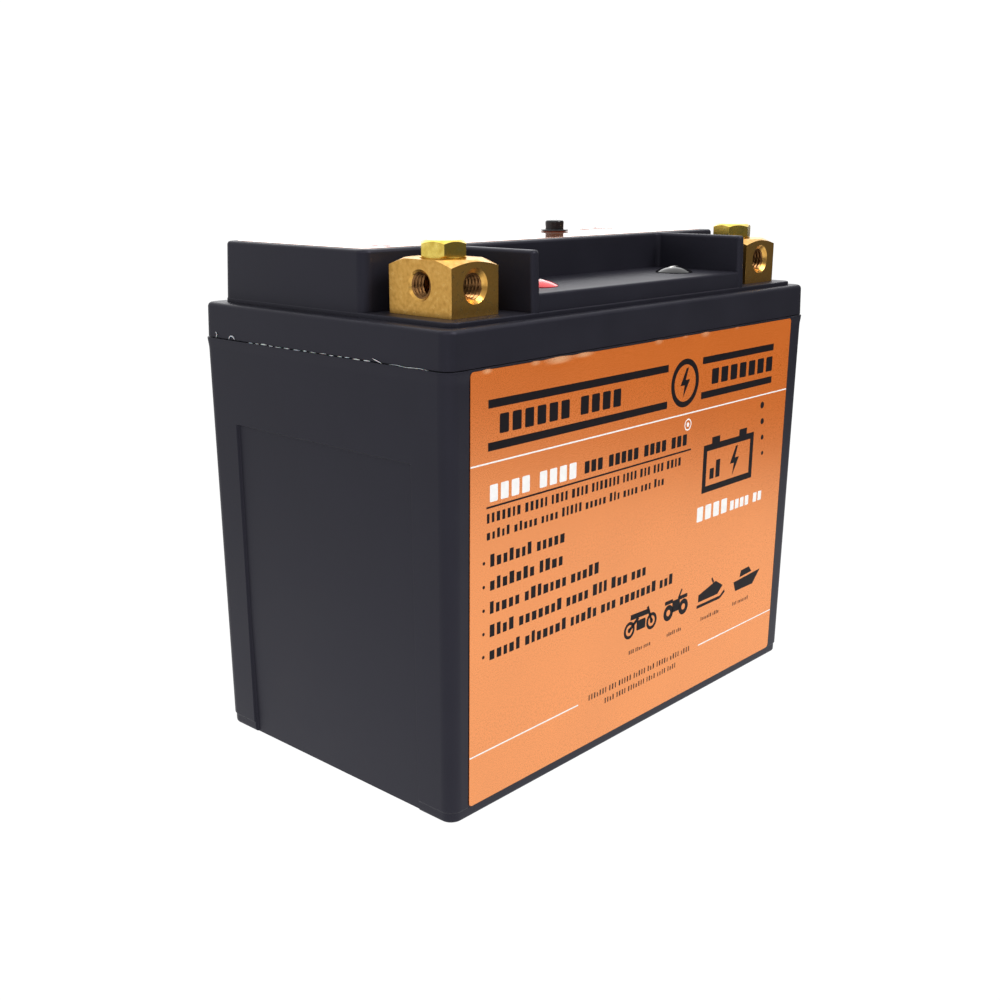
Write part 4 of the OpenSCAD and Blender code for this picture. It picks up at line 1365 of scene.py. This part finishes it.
class Glow(Tree):
    """Emission of a surface or the room: a brightness pattern, plain white for the camera."""

    def __init__(self, tree, coords):
        tree.nodes.clear()
        super().__init__(tree, coords)

    def toward(self, direction, start, end, low, high):
        """Brightness from low to high as the place goes from start to end along a direction."""
        along = Vector(direction).normalized()
        place = self.operate("ShaderNodeVectorMath", "DOT_PRODUCT", self.coords, along)["Value"]
        return self.spread(place, low, high, start, end, "SMOOTHSTEP")

    def times(self, a, b):
        return self.operate("ShaderNodeMath", "MULTIPLY", a, b)[0]

    def plus(self, a, b):
        return self.operate("ShaderNodeMath", "ADD", a, b)[0]

    def finish(self, kind, output, strength):
        """Ends the tree: white for the camera, the pattern for every other ray."""
        path = self.add("ShaderNodeLightPath")
        choice = self.add("ShaderNodeMix")
        for socket, value in ((0, path.outputs["Is Camera Ray"]), (2, strength), (3, SEEN_WHITE)):
            self.put(choice, socket, value)
        glow = self.add(kind, Color=(1, 1, 1, 1), Strength=choice.outputs[0])
        self.add(output, Surface=glow.outputs[0])


def build_floor():
    """Plain white floor, bright around the object and dimmer far off to both sides."""
    corners = [(x, y, 0) for x, y in rectangle(FLOOR_HALF, -FLOOR_HALF, FLOOR_HALF)]
    floor = raw("floor", corners, [(0, 1, 2, 3)])
    floor.location.z = -0.0003
    material = bpy.data.materials.new("floor_white")
    material.use_nodes = True
    glow = Glow(material.node_tree, "Object")
    right = glow.toward((1, -1, 0), 0.22, 0.43, 1.3, 0.10)
    left = glow.toward((-1, 1, 0), 0.05, 0.40, 0.80, 0.50)
    far_left = glow.toward((-1, -0.2, 0), 1.2, 1.8, 1.0, 1.9)
    pattern = glow.times(glow.times(right, left), far_left)
    glow.finish("ShaderNodeEmission", "ShaderNodeOutputMaterial", pattern)
    floor.data.materials.append(material)


def build_world():
    """White room: very bright behind, dim at the front right."""
    world = bpy.data.worlds.new("studio")
    bpy.context.scene.world = world
    world.use_nodes = True
    glow = Glow(world.node_tree, "Generated")
    room = glow.toward((0.75, -0.62, -0.2), -0.6, 0.75, 0.75, 0.12)
    window = glow.toward((0.72, 0.67, 0.12), 0.83, 0.92, 0.0, 1.3)
    overhead = glow.toward((0.45, 0.43, 0.78), 0.72, 0.88, 0.0, 1.1)
    near_camera = glow.toward((-0.72, -0.69, 0), 0.55, 0.92, 1.0, 0.35)
    pattern = glow.plus(glow.times(room, near_camera), glow.plus(window, overhead))
    glow.finish("ShaderNodeBackground", "ShaderNodeOutputWorld", pattern)


def build_studio():
    scene = bpy.context.scene
    scene.view_settings.view_transform = "Standard"
    build_world()
    build_floor()
    build_camera()
    softbox("key", (-0.75, -0.45, 0.75), (0, 0, 0.08), (0.7, 0.7), 2.5, (1.0, 0.99, 0.97))
    softbox("front", (0.25, -0.75, 0.85), (0, 0, 0.06), (0.5, 0.5), 7.8, (1.0, 0.99, 0.98))


# ---- build ----

plastic = case_plastic()
brass = machined_brass()
# darker brass painted as shade inside the threaded cross holes
shaded_hole_brass = surface("shaded_hole_brass", (0.26, 0.13, 0.05), 0.3, metal=1.0, grain=0.2, relief=0.004, blotch=1.0)
plating = yellow_plating()
sealant = milky_sealant()
front_foil = foil("front_foil", 0.28, ((0.81, 0.164, 0.012), (0.86, 0.180, 0.015)), 0.15, CREASES, IOR=3.2)
top_foil = foil("top_foil", 0.1, ((0.92, 0.29, 0.12), (0.96, 0.32, 0.14)), 0.0,
                IOR=1.8, Coat_Weight=1.0, Coat_Roughness=0.015, Coat_IOR=1.7)
dark_ink = print_ink("dark_ink", (0.010, 0.008, 0.010))
red_ink = print_ink("red_ink", (0.28, 0.02, 0.02))
white_ink = print_ink("white_ink", (0.94, 0.93, 0.91), 0.04)
finishes = inner_materials()

build_studio()
build_case(plastic)
build_lid(plastic)
build_sealant(sealant)
build_front_label(front_foil)
build_label_print(dark_ink, white_ink)
build_top_label(top_foil, red_ink)
for name, side in SIDES.items():
    build_terminal(name, side, brass, shaded_hole_brass)
    build_bolt(name, plating)
    build_washer(name, plating)
build_marker("positive", glossy_dome("red_dome", (0.80, 0.025, 0.035), 0.3), white_ink)
build_marker("negative", glossy_dome("black_dome", (0.006, 0.006, 0.007), 0.0), white_ink)
build_button(finishes["button_plastic"])
build_bush(finishes["button_plastic"])
build_spring(finishes["spring_steel"])
build_lights(finishes["light_epoxy"])
dress_inner_nodes(finishes)
